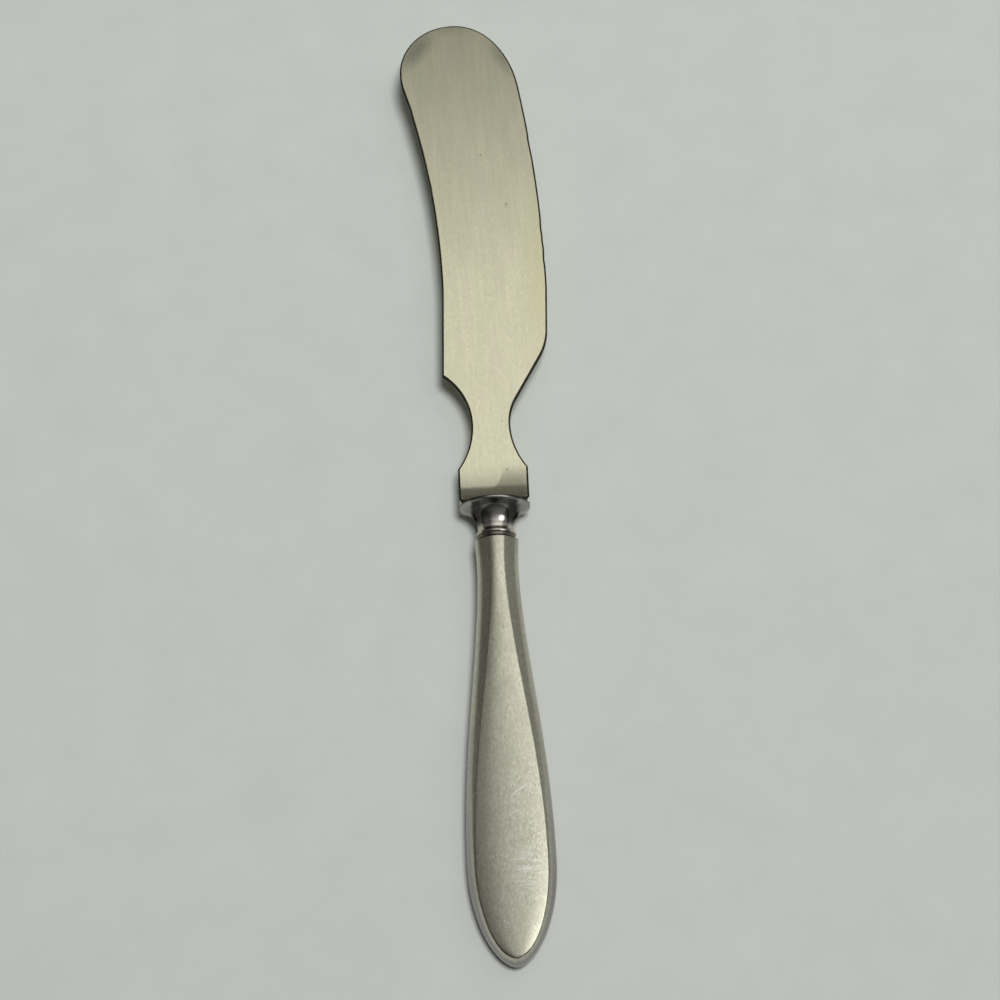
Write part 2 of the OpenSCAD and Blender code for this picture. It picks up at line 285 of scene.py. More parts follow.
def combine(piece: bpy.types.Object, tool: bpy.types.Object, operation: str) -> None:
    """Cuts a piece with a tool body, or joins the two, and removes the tool.

    Args:
        piece: The piece to change.
        tool: The body to cut or join with.
        operation: DIFFERENCE or UNION.
    """
    apply(piece, "BOOLEAN", operation=operation, solver="EXACT", object=tool)
    take(tool)
    bpy.ops.object.delete()


def block(name: str, low: Spot, high: Spot) -> bpy.types.Object:
    """A plain block, used only as a tool body for a cut.

    Args:
        name: The object's name.
        low: Its lowest corner.
        high: Its highest corner.

    Returns:
        The block.
    """
    select_none()
    middle = [(a + b) / 2 for a, b in zip(low, high)]
    bpy.ops.mesh.primitive_cube_add(size=1.0, location=middle)
    made = bpy.context.object
    made.name = name
    with editing(made):
        bpy.ops.transform.resize(
            value=[b - a for a, b in zip(low, high)], center_override=middle
        )
    return made


class Pen:
    """Traces chains of points in a new mesh with extrude, as by hand."""

    def __init__(self, name: str) -> None:
        """Starts an empty mesh.

        Args:
            name: The new object's name.
        """
        select_none()
        bpy.ops.mesh.primitive_plane_add(size=1.0)
        self.piece = bpy.context.object
        self.piece.name = name
        self.piece.data.name = name
        edit()
        bpy.ops.mesh.delete(type="VERT")

    def trace(self, points: Sequence[Spot]) -> None:
        """Draws one open chain and leaves its last point selected.

        Args:
            points: The chain's points.
        """
        bpy.ops.mesh.select_all(action="DESELECT")
        bpy.ops.mesh.primitive_plane_add(size=0.5, location=points[0])
        bpy.ops.mesh.merge(type="CENTER")
        for here, there in zip(points, points[1:]):
            bpy.ops.mesh.extrude_vertices_move(
                TRANSFORM_OT_translate={"value": Vector(there) - Vector(here)}
            )

    def fill(self) -> None:
        """Closes the chain drawn last and fills it with one face."""
        bpy.ops.mesh.select_linked()
        bpy.ops.mesh.edge_face_add()

    def pull(self, way: Spot) -> None:
        """Extrudes what is selected along a way."""
        bpy.ops.mesh.extrude_region_move(TRANSFORM_OT_translate={"value": way})

    def bridge(self) -> None:
        """Joins all the drawn chains, one to the next, with faces."""
        bpy.ops.mesh.select_mode(type="EDGE")
        bpy.ops.mesh.select_all(action="SELECT")
        bpy.ops.mesh.bridge_edge_loops()

    def done(self) -> bpy.types.Object:
        """Ends the drawing and gives the object."""
        bpy.ops.object.mode_set(mode="OBJECT")
        return self.piece


@dataclass(frozen=True)
class Lay:
    """How the knife lies in the frame, from the place and axis of the blade's front mount.

    The mount's own place on the knife is in millimetres, and milli is one of them in metres.
    """

    tilt: float
    shift: Vector
    mount: Spot = (1.0, 45.0, 0.55)
    milli: float = 0.001

    @classmethod
    def read(cls, record: dict) -> "Lay":
        """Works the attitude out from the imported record.

        Args:
            record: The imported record.

        Returns:
            The attitude.
        """
        mount = next(m for m in record["mounts"] if m["name"] == "blade_front")
        axis, place = mount["axis"], Vector(mount["pos_m"])
        tilt = math.atan2(-axis[1], axis[2])
        on_knife = Vector(cls.mount) * cls.milli
        return cls(tilt, place - Matrix.Rotation(tilt, 3, "X") @ on_knife)

    def matrix(self) -> Matrix:
        """Matrix from the knife's axes in millimetres to the frame in metres."""
        turn = Matrix.Rotation(self.tilt, 4, "X")
        return Matrix.Translation(self.shift) @ turn @ Matrix.Scale(self.milli, 4)

    def lay(self, piece: bpy.types.Object) -> bpy.types.Object:
        """Moves a drawn piece to its place in the frame and applies the move.

        Args:
            piece: A piece drawn in the knife's axes.

        Returns:
            The same piece, its object at the origin.
        """
        take(piece)
        piece.matrix_world = self.matrix()
        bpy.ops.object.transform_apply(location=True, rotation=True, scale=True)
        return piece


# ---- Node graphs ----

MIX_A, MIX_B, MIX_COLOUR = 6, 7, 2  # numbers of the Mix node's sockets for colours


@dataclass(frozen=True)
class Mark:
    """A spot or scratch on the knife, round or drawn out.

    It has a middle, a half length along each axis and a lean about Z in degrees. Its share is
    how strong it is in the middle.
    """

    at: Spot
    size: Spot
    turn: float = 0.0
    share: float = 1.0


class Nodes:
    """Node tree, with short calls for the nodes that the light and the finishes use."""

    def __init__(self, tree: bpy.types.NodeTree) -> None:
        """Takes over the node tree of a material or of the world."""
        self.tree = tree

    def node(self, kind: str, inputs: Inputs | None = None, **settings: object) -> bpy.types.Node:
        """Adds a node, sets its properties and feeds its inputs.

        Args:
            kind: The node's type.
            inputs: Numbers, colours or links, by the input's name or number.
            **settings: Properties of the node.

        Returns:
            The node.
        """
        made = self.tree.nodes.new(kind)
        for name, value in settings.items():
            setattr(made, name, value)
        for name, value in (inputs or {}).items():
            self.feed(made.inputs[name], value)
        return made

    def feed(self, socket: Socket, value: object) -> None:
        """Links an input, or sets its value where it is given a number or colour.

        Args:
            socket: The input.
            value: An output, a number, a place or a colour.
        """
        if isinstance(value, Socket):
            self.tree.links.new(value, socket)
        elif isinstance(value, tuple) and len(value) == 3 and socket.type == "RGBA":
            socket.default_value = (*value, 1.0)
        else:
            socket.default_value = value

    def axis(self, place: Socket, name: str) -> Socket:
        """One coordinate, X, Y or Z, of a place."""
        return self.node("ShaderNodeSeparateXYZ", {0: place}).outputs[name]

    def reckon(self, operation: str, a: object, b: object = 0.0) -> Socket:
        """One step of arithmetic, by the Math node's operation."""
        return self.node("ShaderNodeMath", {0: a, 1: b}, operation=operation).outputs[0]

    def times(self, a: object, b: object) -> Socket:
        """One value times another."""
        return self.reckon("MULTIPLY", a, b)

    def plus(self, a: object, b: object) -> Socket:
        """The sum of two values."""
        return self.reckon("ADD", a, b)

    def most(self, values: Sequence[Socket]) -> Socket:
        """The greatest of several values."""
        return functools.reduce(lambda a, b: self.reckon("MAXIMUM", a, b), values)

    def fit(
        self, value: Socket, low: float, high: float, to_low: float = 0.0, to_high: float = 1.0
    ) -> Socket:
        """Maps the range from low to high to another range, and clamps it."""
        return self.node("ShaderNodeMapRange", {
            "Value": value, "From Min": low, "From Max": high, "To Min": to_low, "To Max": to_high
        }).outputs["Result"]

    def mix(self, factor: object, a: object, b: object, blend: str = "MIX") -> Socket:
        """Mixes two colours.

        Args:
            factor: Share of the second colour.
            a: First colour.
            b: Second colour.
            blend: The Mix node's blend type.

        Returns:
            The colour.
        """
        inputs = {0: factor, MIX_A: a, MIX_B: b}
        made = self.node("ShaderNodeMix", data_type="RGBA", blend_type=blend, inputs=inputs)
        return made.outputs[MIX_COLOUR]

    def coat(self, colour: object, *coats: tuple[Socket, float, float, float, object]) -> Socket:
        """Lays colours over a colour, each one where its value goes from low to high.

        Args:
            colour: The colour underneath.
            *coats: The value, low, high, the colour's share at high, and the colour.

        Returns:
            The colour.
        """
        for value, low, high, share, over in coats:
            colour = self.mix(self.fit(value, low, high, 0.0, share), colour, over)
        return colour

    def ramp(self, value: Socket, stops: Sequence[tuple[float, Colour]]) -> Socket:
        """Colour over a value.

        Args:
            value: The value.
            stops: Places from 0 to 1 and their colours.

        Returns:
            The colour.
        """
        made = self.node("ShaderNodeValToRGB", {"Fac": value})
        elements = made.color_ramp.elements
        while len(elements) < len(stops):
            elements.new(1.0)
        for element, (place, colour) in zip(elements, stops):
            element.position = place
            element.color = (*colour, 1.0)
        return made.outputs["Color"]


class Graph(Nodes):
    """Nodes of one material, with patterns that lie in the knife's axes and millimetres."""

    def __init__(self, name: str, lay: Lay) -> None:
        """Starts a material with a Principled shader.

        Args:
            name: The material's name.
            lay: The knife's attitude, which turns patterns into the knife's axes.
        """
        self.material = bpy.data.materials.new(name)
        self.material.use_nodes = True
        super().__init__(self.material.node_tree)
        self.shader = self.tree.nodes["Principled BSDF"]
        back = lay.matrix().inverted()
        self.place = self.mapped(
            self.node("ShaderNodeTexCoord").outputs["Object"],
            Location=back.to_translation(), Rotation=back.to_euler(), Scale=back.to_scale(),
        )

    def mapped(self, place: Socket, kind: str = "POINT", **changes: object) -> Socket:
        """Moves, turns or scales a place, by the inputs of a Mapping node."""
        inputs = {"Vector": place, **changes}
        return self.node("ShaderNodeMapping", inputs, vector_type=kind).outputs["Vector"]

    def stretch(self, scale: Spot, turn: float = 0.0) -> Socket:
        """Place on the knife, turned about Z and then scaled.

        Args:
            scale: Scale along each axis.
            turn: Turn about Z in degrees.

        Returns:
            The new place.
        """
        place = self.place
        if turn:
            place = self.mapped(place, Rotation=(0.0, 0.0, math.radians(turn)))
        return self.mapped(place, Scale=scale)

    def noise(
        self, scale: float, detail: float, rough: float, place: Socket | None = None
    ) -> Socket:
        """Soft noise between 0 and 1.

        Args:
            scale: Scale of the noise.
            detail: Octaves.
            rough: Strength of the finer octaves.
            place: Where it is read, if not at the place on the knife.

        Returns:
            The noise.
        """
        place = self.place if place is None else place
        inputs = {"Vector": place, "Scale": scale, "Detail": detail, "Roughness": rough}
        return self.node("ShaderNodeTexNoise", inputs).outputs["Fac"]

    def grain(self, scale: Spot, detail: float, rough: float, turn: float = 0.0) -> Socket:
        """Noise with its own scale along each axis, leant by a turn about Z in degrees."""
        return self.noise(1.0, detail, rough, self.stretch(scale, turn))

    def sway(self, noise: Socket, reach: float) -> Socket:
        """Noise as a shift by up to a reach, either way."""
        return self.fit(noise, 0.3, 0.7, -reach, reach)

    def pits(self, place: Socket, scale: float, size: float) -> Socket:
        """Scattered round pits, 1 in their middles; size is a share of their spacing."""
        made = self.node("ShaderNodeTexVoronoi", {"Vector": place, "Scale": scale})
        return self.fit(made.outputs["Distance"], 0.0, size, 1.0, 0.0)

    def mark(self, mark: Mark) -> Socket:
        """Mask of a mark: its share in the middle, 0 at the ends of its half axes.

        Args:
            mark: The mark.

        Returns:
            The mask.
        """
        turn = (0.0, 0.0, math.radians(mark.turn))
        place = self.mapped(self.place, "TEXTURE", Location=mark.at, Rotation=turn, Scale=mark.size)
        ball = self.node("ShaderNodeTexGradient", {"Vector": place}, gradient_type="SPHERICAL")
        mask = ball.outputs["Fac"]
        return mask if mark.share == 1.0 else self.fit(mask, 0.0, 1.0, 0.0, mark.share)

    def marks(self, marks: Sequence[Mark]) -> Socket:
        """Mask of several marks."""
        return self.most([self.mark(mark) for mark in marks])

    def scratches(self, turn: float, pitch: float, length: float, rarity: float) -> Socket:
        """Fine scratches that all lean one way.

        Args:
            turn: Their lean from the knife's length, in degrees.
            pitch: Spacing across them, in millimetres.
            length: Their usual length, in millimetres.
            rarity: From 0, everywhere, to 1, none.

        Returns:
            The mask.
        """
        lines = self.grain((1 / pitch, 1 / length, 1 / length), 1.0, 0.4, turn)
        return self.fit(lines, 0.5 + 0.25 * rarity, 0.62 + 0.25 * rarity)

    def bump(self, height: Socket, depth: float, below: Socket | None = None) -> Socket:
        """Relief of the surface.

        Args:
            height: Height between 0 and 1.
            depth: What 1 is, in metres.
            below: A normal to add the relief to.

        Returns:
            The normal.
        """
        inputs = {"Strength": 1.0, "Distance": depth, "Height": height}
        if below is not None:
            inputs["Normal"] = below
        return self.node("ShaderNodeBump", inputs).outputs["Normal"]

    def vector(self, operation: str, inputs: Inputs, output: str = "Vector") -> Socket:
        """One step of arithmetic with vectors."""
        return self.node("ShaderNodeVectorMath", inputs, operation=operation).outputs[output]

    def tilt(self, amount: Socket, way: Spot) -> Socket:
        """Leans the surface's normal, as a filed facet does.

        Args:
            amount: How far it leans, as a slope.
            way: Unit vector towards which it leans.

        Returns:
            The normal.
        """
        normal = self.node("ShaderNodeNewGeometry").outputs["Normal"]
        lean = self.vector("SCALE", {0: way, "Scale": amount})
        return self.vector("NORMALIZE", {0: self.vector("ADD", {0: normal, 1: lean})})

    def radius(self) -> Socket:
        """Distance from the knife's long axis."""
        flat = self.vector("MULTIPLY", {0: self.place, 1: (1.0, 0.0, 1.0)})
        return self.vector("LENGTH", {0: flat}, "Value")


# ---- Finishes ----


class Finish:
    """What a surface looks like. Each kind has a name and paints its own material."""

    name: str

    def paint(self, g: Graph) -> Inputs:
        """Makes the patterns in a graph and gives the shader's inputs."""
        raise NotImplementedError

    def material(self, lay: Lay) -> bpy.types.Material:
        """Builds the material.

        Args:
            lay: The knife's attitude.

        Returns:
            The material.
        """
        g = Graph(self.name, lay)
        for name, value in self.paint(g).items():
            g.feed(g.shader.inputs[name], value)
        return g.material


@dataclass(frozen=True)
class BrushedPlate(Finish):
    """Worn silver plate of the blade, brushed along its length and patchy with use."""

    name: str = "blade_brushed_silver"
    bright: Colour = (0.975, 0.94, 0.692)
    dull: Colour = (0.81, 0.78, 0.578)
    rosy: Colour = (0.87, 0.82, 0.64)
    green: Colour = (0.82, 0.83, 0.60)
    worn: Colour = (0.83, 0.80, 0.53)
    stain: Colour = (0.42, 0.43, 0.32)
    pitted: Colour = (0.24, 0.22, 0.16)
    grime_and_shade: Colour = (0.16, 0.14, 0.10)
    black: Colour = (0.02, 0.018, 0.013)
    streaked: float = 0.62
    roughness: float = 0.27
    rubbed: float = 0.035
    relief: float = 3e-6
    lean_start: float = 7.6
    lean_full: float = 2.6
    hollow_lean: float = 0.08
    filed_lean: float = 0.065
    unfiled: Mark = Mark((-2.5, 7.0, 0.0), (4.3, 5.4, 30.0))
    edge_wear: Mark = Mark((8.9, 38.0, 0.5), (3.0, 24.0, 3.0), -1.5)
    tip_stains: tuple[Mark, ...] = (
        Mark((-9.4, 80.2, 0.5), (2.3, 5.2, 3.0), -38.0),
        Mark((-4.0, 84.6, 0.5), (7.0, 2.2, 3.0), 0.0, 0.55),
        Mark((4.6, 78.2, 0.5), (1.5, 5.0, 3.0), 28.0, 0.7),
    )
    large_pits: tuple[Mark, ...] = (
        Mark((4.17, 51.4, 0.55), (0.3, 0.42, 2.0)),
        Mark((2.18, 5.83, 0.55), (0.28, 0.28, 2.0)),
        Mark((0.4, 60.5, 0.55), (0.24, 0.3, 2.0)),
    )

    def plate(self, g: Graph) -> Socket:
        """Colour of the plate: streaks, patches, wear by the cutting edge and stains at the tip.

        Args:
            g: The material's graph.

        Returns:
            The colour.
        """
        streaks = g.grain((1.7, 0.09, 0.3), 5.0, 0.68, -2.0)
        mottle = g.grain((2.8, 1.3, 0.3), 4.0, 0.72)
        blotch = g.grain((0.30, 0.10, 0.2), 2.0, 0.5)
        hue = g.grain((0.42, 0.09, 0.5), 2.0, 0.5, 4.0)
        shade = g.plus(g.times(streaks, self.streaked), g.times(mottle, 1 - self.streaked))
        wear = g.times(g.mark(self.edge_wear), g.fit(mottle, 0.3, 0.6, 0.7, 1.3))
        stains = g.times(g.marks(self.tip_stains), g.fit(mottle, 0.3, 0.6, 0.6, 1.3))
        return g.coat(
            self.dull,
            (shade, 0.36, 0.62, 1.0, self.bright),
            (hue, 0.46, 0.74, 0.7, self.green),
            (hue, 0.54, 0.26, 0.7, self.rosy),
            (blotch, 0.58, 0.28, 0.5, self.dull),
            (wear, 0.0, 1.0, 1.0, self.worn),
            (stains, 0.0, 0.8, 0.75, self.stain),
        )

    def paint(self, g: Graph) -> Inputs:
        """Adds pits, painted shade on the foot by the bolster and in the crevice there, painted
        shade towards the tip, and the foot's hollow and filed facet.

        Args:
            g: The material's graph.

        Returns:
            The shader's inputs.
        """
        along = g.axis(g.place, "Y")
        pits = g.most([g.marks(self.large_pits), g.pits(g.stretch((1.0, 1.0, 0.2)), 0.42, 0.06)])
        grain = g.grain((5.5, 0.3, 0.5), 3.0, 0.6, 1.0)
        rub = g.grain((2.6, 1.1, 0.3), 3.0, 0.65, 3.0)
        ragged = g.plus(along, g.sway(grain, 0.12))
        colour = g.coat(
            self.plate(g),
            (pits, 0.0, 1.0, 0.6, self.pitted),
            # Painted shade: the foot darkens towards the bolster and is near black in the crevice
            # next to it.
            (ragged, 3.4, 0.9, 0.78, self.grime_and_shade),
            (ragged, 1.0, 0.75, 0.95, self.black),
            # Painted shade: the plate darkens towards the tip.
            (along, 38.0, 82.0, 0.29, self.black),
        )
        hollow_lean, filed_lean = (
            g.fit(along, self.lean_start, self.lean_full, 0.0, lean)
            for lean in (self.hollow_lean, self.filed_lean)
        )
        filed = g.fit(g.mark(self.unfiled), 0.0, 0.05, 1.0, 0.0)
        lean = g.plus(hollow_lean, g.times(filed, filed_lean))
        height = g.reckon("SUBTRACT", grain, g.times(pits, 3.0))
        return {
            "Base Color": colour,
            "Metallic": 1.0,
            "Roughness": g.fit(rub, 0.35, 0.65, self.roughness, self.roughness + self.rubbed),
            "Normal": g.bump(height, self.relief, g.tilt(lean, (0.0, 1.0, 0.0))),
        }


@dataclass(frozen=True)
class DarkBevel(Finish):
    """Dark bevel round the blade."""

    name: str = "blade_dark_bevel"
    dark: Colour = (0.035, 0.032, 0.022)
    light: Colour = (0.11, 0.10, 0.07)
    roughness: float = 0.6
    relief: float = 2e-5

    def paint(self, g: Graph) -> Inputs:
        """Mottles the dark bevel.

        Args:
            g: The material's graph.

        Returns:
            The shader's inputs.
        """
        grain = g.noise(1.3, 4.0, 0.65)
        return {
            "Base Color": g.coat(self.dark, (grain, 0.4, 0.66, 1.0, self.light)),
            "Metallic": 1.0,
            "Roughness": g.fit(grain, 0.3, 0.7, self.roughness, self.roughness + 0.15),
            "Normal": g.bump(grain, self.relief),
        }


@dataclass(frozen=True)
class MirrorSilver(Finish):
    """Polished silver of the bolster under painted shade, a dark colour over its trumpet that
    stands in for dark reflections, left bright down its middle.

    Pairs of numbers say where a look begins and where it is full. Those named for a height are
    places along the knife, and the others are distances from its middle.
    """

    name: str = "bolster_polished_silver"
    bright: Colour = (0.84, 0.83, 0.80)
    worn: Colour = (0.40, 0.39, 0.37)
    grey: Colour = (0.40, 0.395, 0.385)
    dim: Colour = (0.27, 0.265, 0.255)
    painted_shade: Colour = (0.085, 0.08, 0.075)
    brown: Colour = (0.57, 0.525, 0.46)
    rosy: Colour = (0.17, 0.15, 0.13)
    black: Colour = (0.03, 0.027, 0.022)
    roughness: float = 0.16
    relief: float = 1.5e-6
    dim_disc: Flat = (5.3, 4.6)
    painted_shade_zone: Flat = (3.95, 3.35)
    shine: Flat = (2.05, 1.45)
    deeper_shade_reach: Flat = (2.1, 2.4)
    shine_height: Flat = (-1.0, -1.7)
    neck_height: Flat = (-3.3, -4.0)
    brown_height: Flat = (-2.6, -3.6)
    deeper_shade_height: Flat = (-3.4, -2.6)
    shaded_tint_height: Flat = (-3.4, -2.4)
    collar_height: Flat = (-5.08, -5.14)
    groove_top_height: Flat = (-4.98, -5.04)
    groove_foot_height: Flat = (-5.18, -5.12)
    rim_height: Flat = (-0.4, -0.6)
    crevice_height: Flat = (-0.19, -0.11)

    def paint(self, g: Graph) -> Inputs:
        """Lays the painted shade, the bright middle left free of it, the rim and the dark lines of
        painted shade over the silver.

        Args:
            g: The material's graph.

        Returns:
            The shader's inputs.
        """
        along = g.axis(g.place, "Y")
        out = g.reckon("ABSOLUTE", g.axis(g.place, "X"))
        cloud = g.noise(1.1, 5.0, 0.65)
        rings = g.grain((0.4, 7.0, 0.4), 3.0, 0.6)
        edge = g.plus(g.radius(), g.sway(cloud, 0.3))
        wavering = g.plus(out, g.sway(cloud, 0.25))
        # Painted shade: the trumpet is painted dark out towards the flange, standing in for dark
        # reflections.
        painted_shade_zone = g.fit(wavering, *self.painted_shade_zone)
        shine = g.times(g.fit(wavering, *self.shine), g.fit(along, *self.shine_height))
        # Where the painted shade gives way to the bright silver: down the middle, and on the neck
        # below.
        rubbed = g.most([shine, g.fit(along, *self.neck_height)])
        # Deeper painted shade towards the sides of the trumpet's upper part.
        deeper_shade = g.times(g.fit(out, *self.deeper_shade_reach), g.fit(along, *self.deeper_shade_height))
        # Painted shade in the grooves above and below the bead.
        groove_top = g.fit(along, *self.groove_top_height)
        groove = g.times(groove_top, g.fit(along, *self.groove_foot_height))
        # Painted shade in the crevice where the blade's foot meets the flange.
        crevice = g.plus(along, g.fit(out, 1.2, 4.4, -0.02, 0.17))

        flange = g.coat(self.grey, (edge, *self.dim_disc, 1.0, self.dim))
        silver = g.coat(self.bright, (along, *self.brown_height, 1.0, self.brown))
        painted_shade = g.mix(g.times(deeper_shade, g.fit(cloud, 0.2, 0.5, 0.3, 0.75)), self.painted_shade, self.black)
        body = g.mix(painted_shade_zone, flange, g.mix(rubbed, painted_shade, silver))
        body = g.coat(body, (along, *self.collar_height, 1.0, self.rosy))
        body = g.mix(g.times(groove, g.fit(cloud, 0.3, 0.6, 0.4, 0.9)), body, self.black)
        colour = g.coat(
            g.coat(self.dim, (cloud, 0.35, 0.6, 1.0, self.worn)),
            (along, *self.rim_height, 1.0, body),
            (rings, 0.5, 0.7, 0.15, self.grey),
            (g.plus(crevice, g.sway(cloud, 0.04)), *self.crevice_height, 0.95, self.black),
        )
        # The painted shade also dims the specular tint.
        shaded_tint = g.times(painted_shade_zone, g.fit(along, *self.shaded_tint_height))
        return {
            "Base Color": colour,
            "Metallic": 1.0,
            "Roughness": g.fit(cloud, 0.3, 0.8, self.roughness - 0.03, self.roughness + 0.10),
            "Specular Tint": g.mix(shaded_tint, self.bright, self.dim),
            "Normal": g.bump(rings, self.relief),
        }


@dataclass(frozen=True)
class SatinSilver(Finish):
    """Satin silver of the handle's shells, worn smooth and scratched by use."""

    name: str = "handle_satin_silver"
    bright: Colour = (0.71, 0.70, 0.57)
    dull: Colour = (0.56, 0.545, 0.425)
    fresh: Colour = (0.97, 0.965, 0.91)
    grime_and_shade: Colour = (0.20, 0.18, 0.12)
    seam_shade: Colour = (0.30, 0.28, 0.29)
    roughness: float = 0.25
    relief: float = 4e-6
    belly: Mark = Mark((1.2, -52.0, 3.0), (7.5, 20.0, 6.0))
    lined: Mark = Mark((2.2, -57.5, 3.0), (3.8, 4.5, 6.0))
    pocked: Mark = Mark((-1.3, -64.3, 3.0), (2.6, 3.0, 6.0))
    flecked: Mark = Mark((2.0, -55.0, 3.0), (4.6, 13.0, 6.0))
    large_pit: Mark = Mark((0.4, -20.5, 2.9), (0.2, 0.2, 2.0))
    long_scratches: tuple[Mark, ...] = (
        Mark((1.9, -45.6, 3.0), (0.16, 1.9, 3.0), -57.0),
        Mark((0.9, -46.4, 3.0), (0.13, 1.2, 3.0), -50.0),
        Mark((-1.9, -45.0, 3.0), (0.10, 0.5, 3.0), 20.0),
        Mark((-1.0, -49.5, 3.0), (0.10, 0.4, 3.0), -20.0),
    )

    def scuffs(self, g: Graph) -> Socket:
        """Bright scratches: crossing scuffs on the belly, lines across it and specks by the butt.

        Args:
            g: The material's graph.

        Returns:
            The mask.
        """
        crossed = g.most([g.scratches(38.0, 0.15, 1.1, 0.5), g.scratches(-55.0, 0.13, 1.0, 0.55)])
        specks = g.fit(g.grain((3.0, 2.4, 0.5), 3.0, 0.7), 0.56, 0.68)
        speckled = g.most([
            g.fit(g.mark(self.pocked), 0.0, 0.45),
            g.fit(g.mark(self.flecked), 0.0, 0.5, 0.0, 0.5),
        ])
        return g.most([
            g.times(crossed, g.fit(g.mark(self.belly), 0.0, 0.6, 0.0, 0.7)),
            g.times(g.scratches(87.0, 0.13, 3.5, 0.1), g.mark(self.lined)),
            g.times(specks, speckled),
            g.marks(self.long_scratches),
        ])

    def paint(self, g: Graph) -> Inputs:
        """Mottles and scratches the satin, and darkens it towards the seam with painted shade.

        Args:
            g: The material's graph.

        Returns:
            The shader's inputs.
        """
        cloud = g.grain((0.35, 0.16, 0.3), 4.0, 0.6)
        grain = g.grain((3.4, 1.3, 1.5), 5.0, 0.75)
        scuffs = self.scuffs(g)
        pits = g.most([g.pits(g.stretch((1.0, 1.0, 0.2)), 0.6, 0.06), g.mark(self.large_pit)])
        # Painted shade: the sides darken towards the seam, more so towards the butt.
        seam = g.times(
            g.fit(g.reckon("ABSOLUTE", g.axis(g.place, "Z")), 2.3, 1.5),
            g.fit(g.axis(g.place, "Y"), -30.0, -60.0, 0.25, 0.9),
        )
        height = g.reckon("SUBTRACT", grain, g.plus(g.times(pits, 2.5), scuffs))
        return {
            "Base Color": g.coat(
                self.dull,
                (grain, 0.40, 0.60, 1.0, self.bright),
                (cloud, 0.48, 0.8, 0.45, self.dull),
                (scuffs, 0.0, 1.0, 0.85, self.fresh),
                (pits, 0.0, 1.0, 0.5, self.grime_and_shade),
                (seam, 0.0, 1.0, 1.0, self.seam_shade),
            ),
            "Metallic": 1.0,
            "Roughness": g.fit(cloud, 0.25, 0.75, self.roughness - 0.04, self.roughness + 0.07),
            "Normal": g.bump(height, self.relief),
        }


@dataclass(frozen=True)
class Solder(Finish):
    """Dull grey solder, a little grainy."""

    name: str
    pale: Colour
    dark: Colour
    roughness: float = 0.45
    relief: float = 2e-5

    def paint(self, g: Graph) -> Inputs:
        """Mottles the solder.

        Args:
            g: The material's graph.

        Returns:
            The shader's inputs.
        """
        grain = g.noise(2.4, 4.0, 0.7)
        return {
            "Base Color": g.coat(self.dark, (grain, 0.35, 0.65, 1.0, self.pale)),
            "Metallic": 1.0,
            "Roughness": g.fit(grain, 0.3, 0.7, self.roughness - 0.1, self.roughness + 0.1),
            "Normal": g.bump(grain, self.relief),
        }


@dataclass(frozen=True)
class Cement(Finish):
    """Red-brown pitch cement that fills the handle."""

    name: str = "handle_cement_pitch"
    light: Colour = (0.30, 0.12, 0.06)
    dark: Colour = (0.13, 0.05, 0.03)
    relief: float = 2e-4

    def paint(self, g: Graph) -> Inputs:
        """Mottles the cement and gives it bubbles.

        Args:
            g: The material's graph.

        Returns:
            The shader's inputs.
        """
        grain = g.noise(0.8, 6.0, 0.7)
        bubbles = g.pits(g.place, 0.9, 0.3)
        return {
            "Base Color": g.coat(self.dark, (grain, 0.35, 0.65, 1.0, self.light)),
            "Roughness": g.fit(grain, 0.3, 0.7, 0.4, 0.75),
            "Normal": g.bump(g.reckon("SUBTRACT", grain, bubbles), self.relief),
        }


@dataclass(frozen=True)
class Tablecloth(Finish):
    """Pale matt surface under the knife, faintly mottled."""

    name: str = "table_pale_cloth"
    near: Colour = (0.494, 0.510, 0.485)
    far: Colour = (0.537, 0.566, 0.530)
    relief: float = 1e-5

    def paint(self, g: Graph) -> Inputs:
        """Shades the cloth from its near end to its far end and mottles it.

        Args:
            g: The material's graph.

        Returns:
            The shader's inputs.
        """
        colour = g.coat(self.near, (g.axis(g.place, "Y"), -70.0, 85.0, 1.0, self.far))
        mottle = g.noise(0.12, 5.0, 0.6)
        fibre = g.noise(2.2, 3.0, 0.6)
        shade = g.plus(g.fit(mottle, 0.3, 0.7, 0.975, 1.02), g.sway(fibre, 0.012))
        grey = g.node("ShaderNodeCombineColor", dict.fromkeys(("Red", "Green", "Blue"), shade))
        return {
            "Base Color": g.mix(1.0, colour, grey.outputs[0], "MULTIPLY"),
            "Roughness": 0.95,
            "Specular IOR Level": 0.1,
            "Normal": g.bump(fibre, self.relief),
        }


# ---- The knife's pieces ----


def eased(t: float) -> float:
    """Eases a share from 0 to 1 in and out."""
    return (1 - math.cos(math.pi * t)) / 2


def between(start: float, end: float, share: float) -> float:
    """Value at a share of the way from a start to an end."""
    return start + (end - start) * share


def hundredths(point: Sequence[float]) -> Spot:
    """A point rounded to a hundredth, by which it can be found again."""
    return tuple(round(value, 2) for value in point)


def dress(piece: bpy.types.Object, materials: Sequence[bpy.types.Material]) -> None:
    """Gives a new piece its materials, in the order of its slots."""
    for material in materials:
        piece.data.materials.append(material)


def enter(piece: bpy.types.Object, slot: Slot, *nodes: str) -> bpy.types.Object:
    """Attaches a laid piece to the root body and hides the CAD nodes that it stands for.

    Args:
        piece: The piece.
        slot: The record's material slot; not used.
        *nodes: CAD nodes that the piece stands for.

    Returns:
        The same piece.
    """
    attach(piece, "root")
    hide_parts(*nodes)
    triangles = sum(len(face.vertices) - 2 for face in piece.data.polygons)
    log.info("%s: %d triangles, stands for %s", piece.name, triangles, ", ".join(nodes))
    return piece


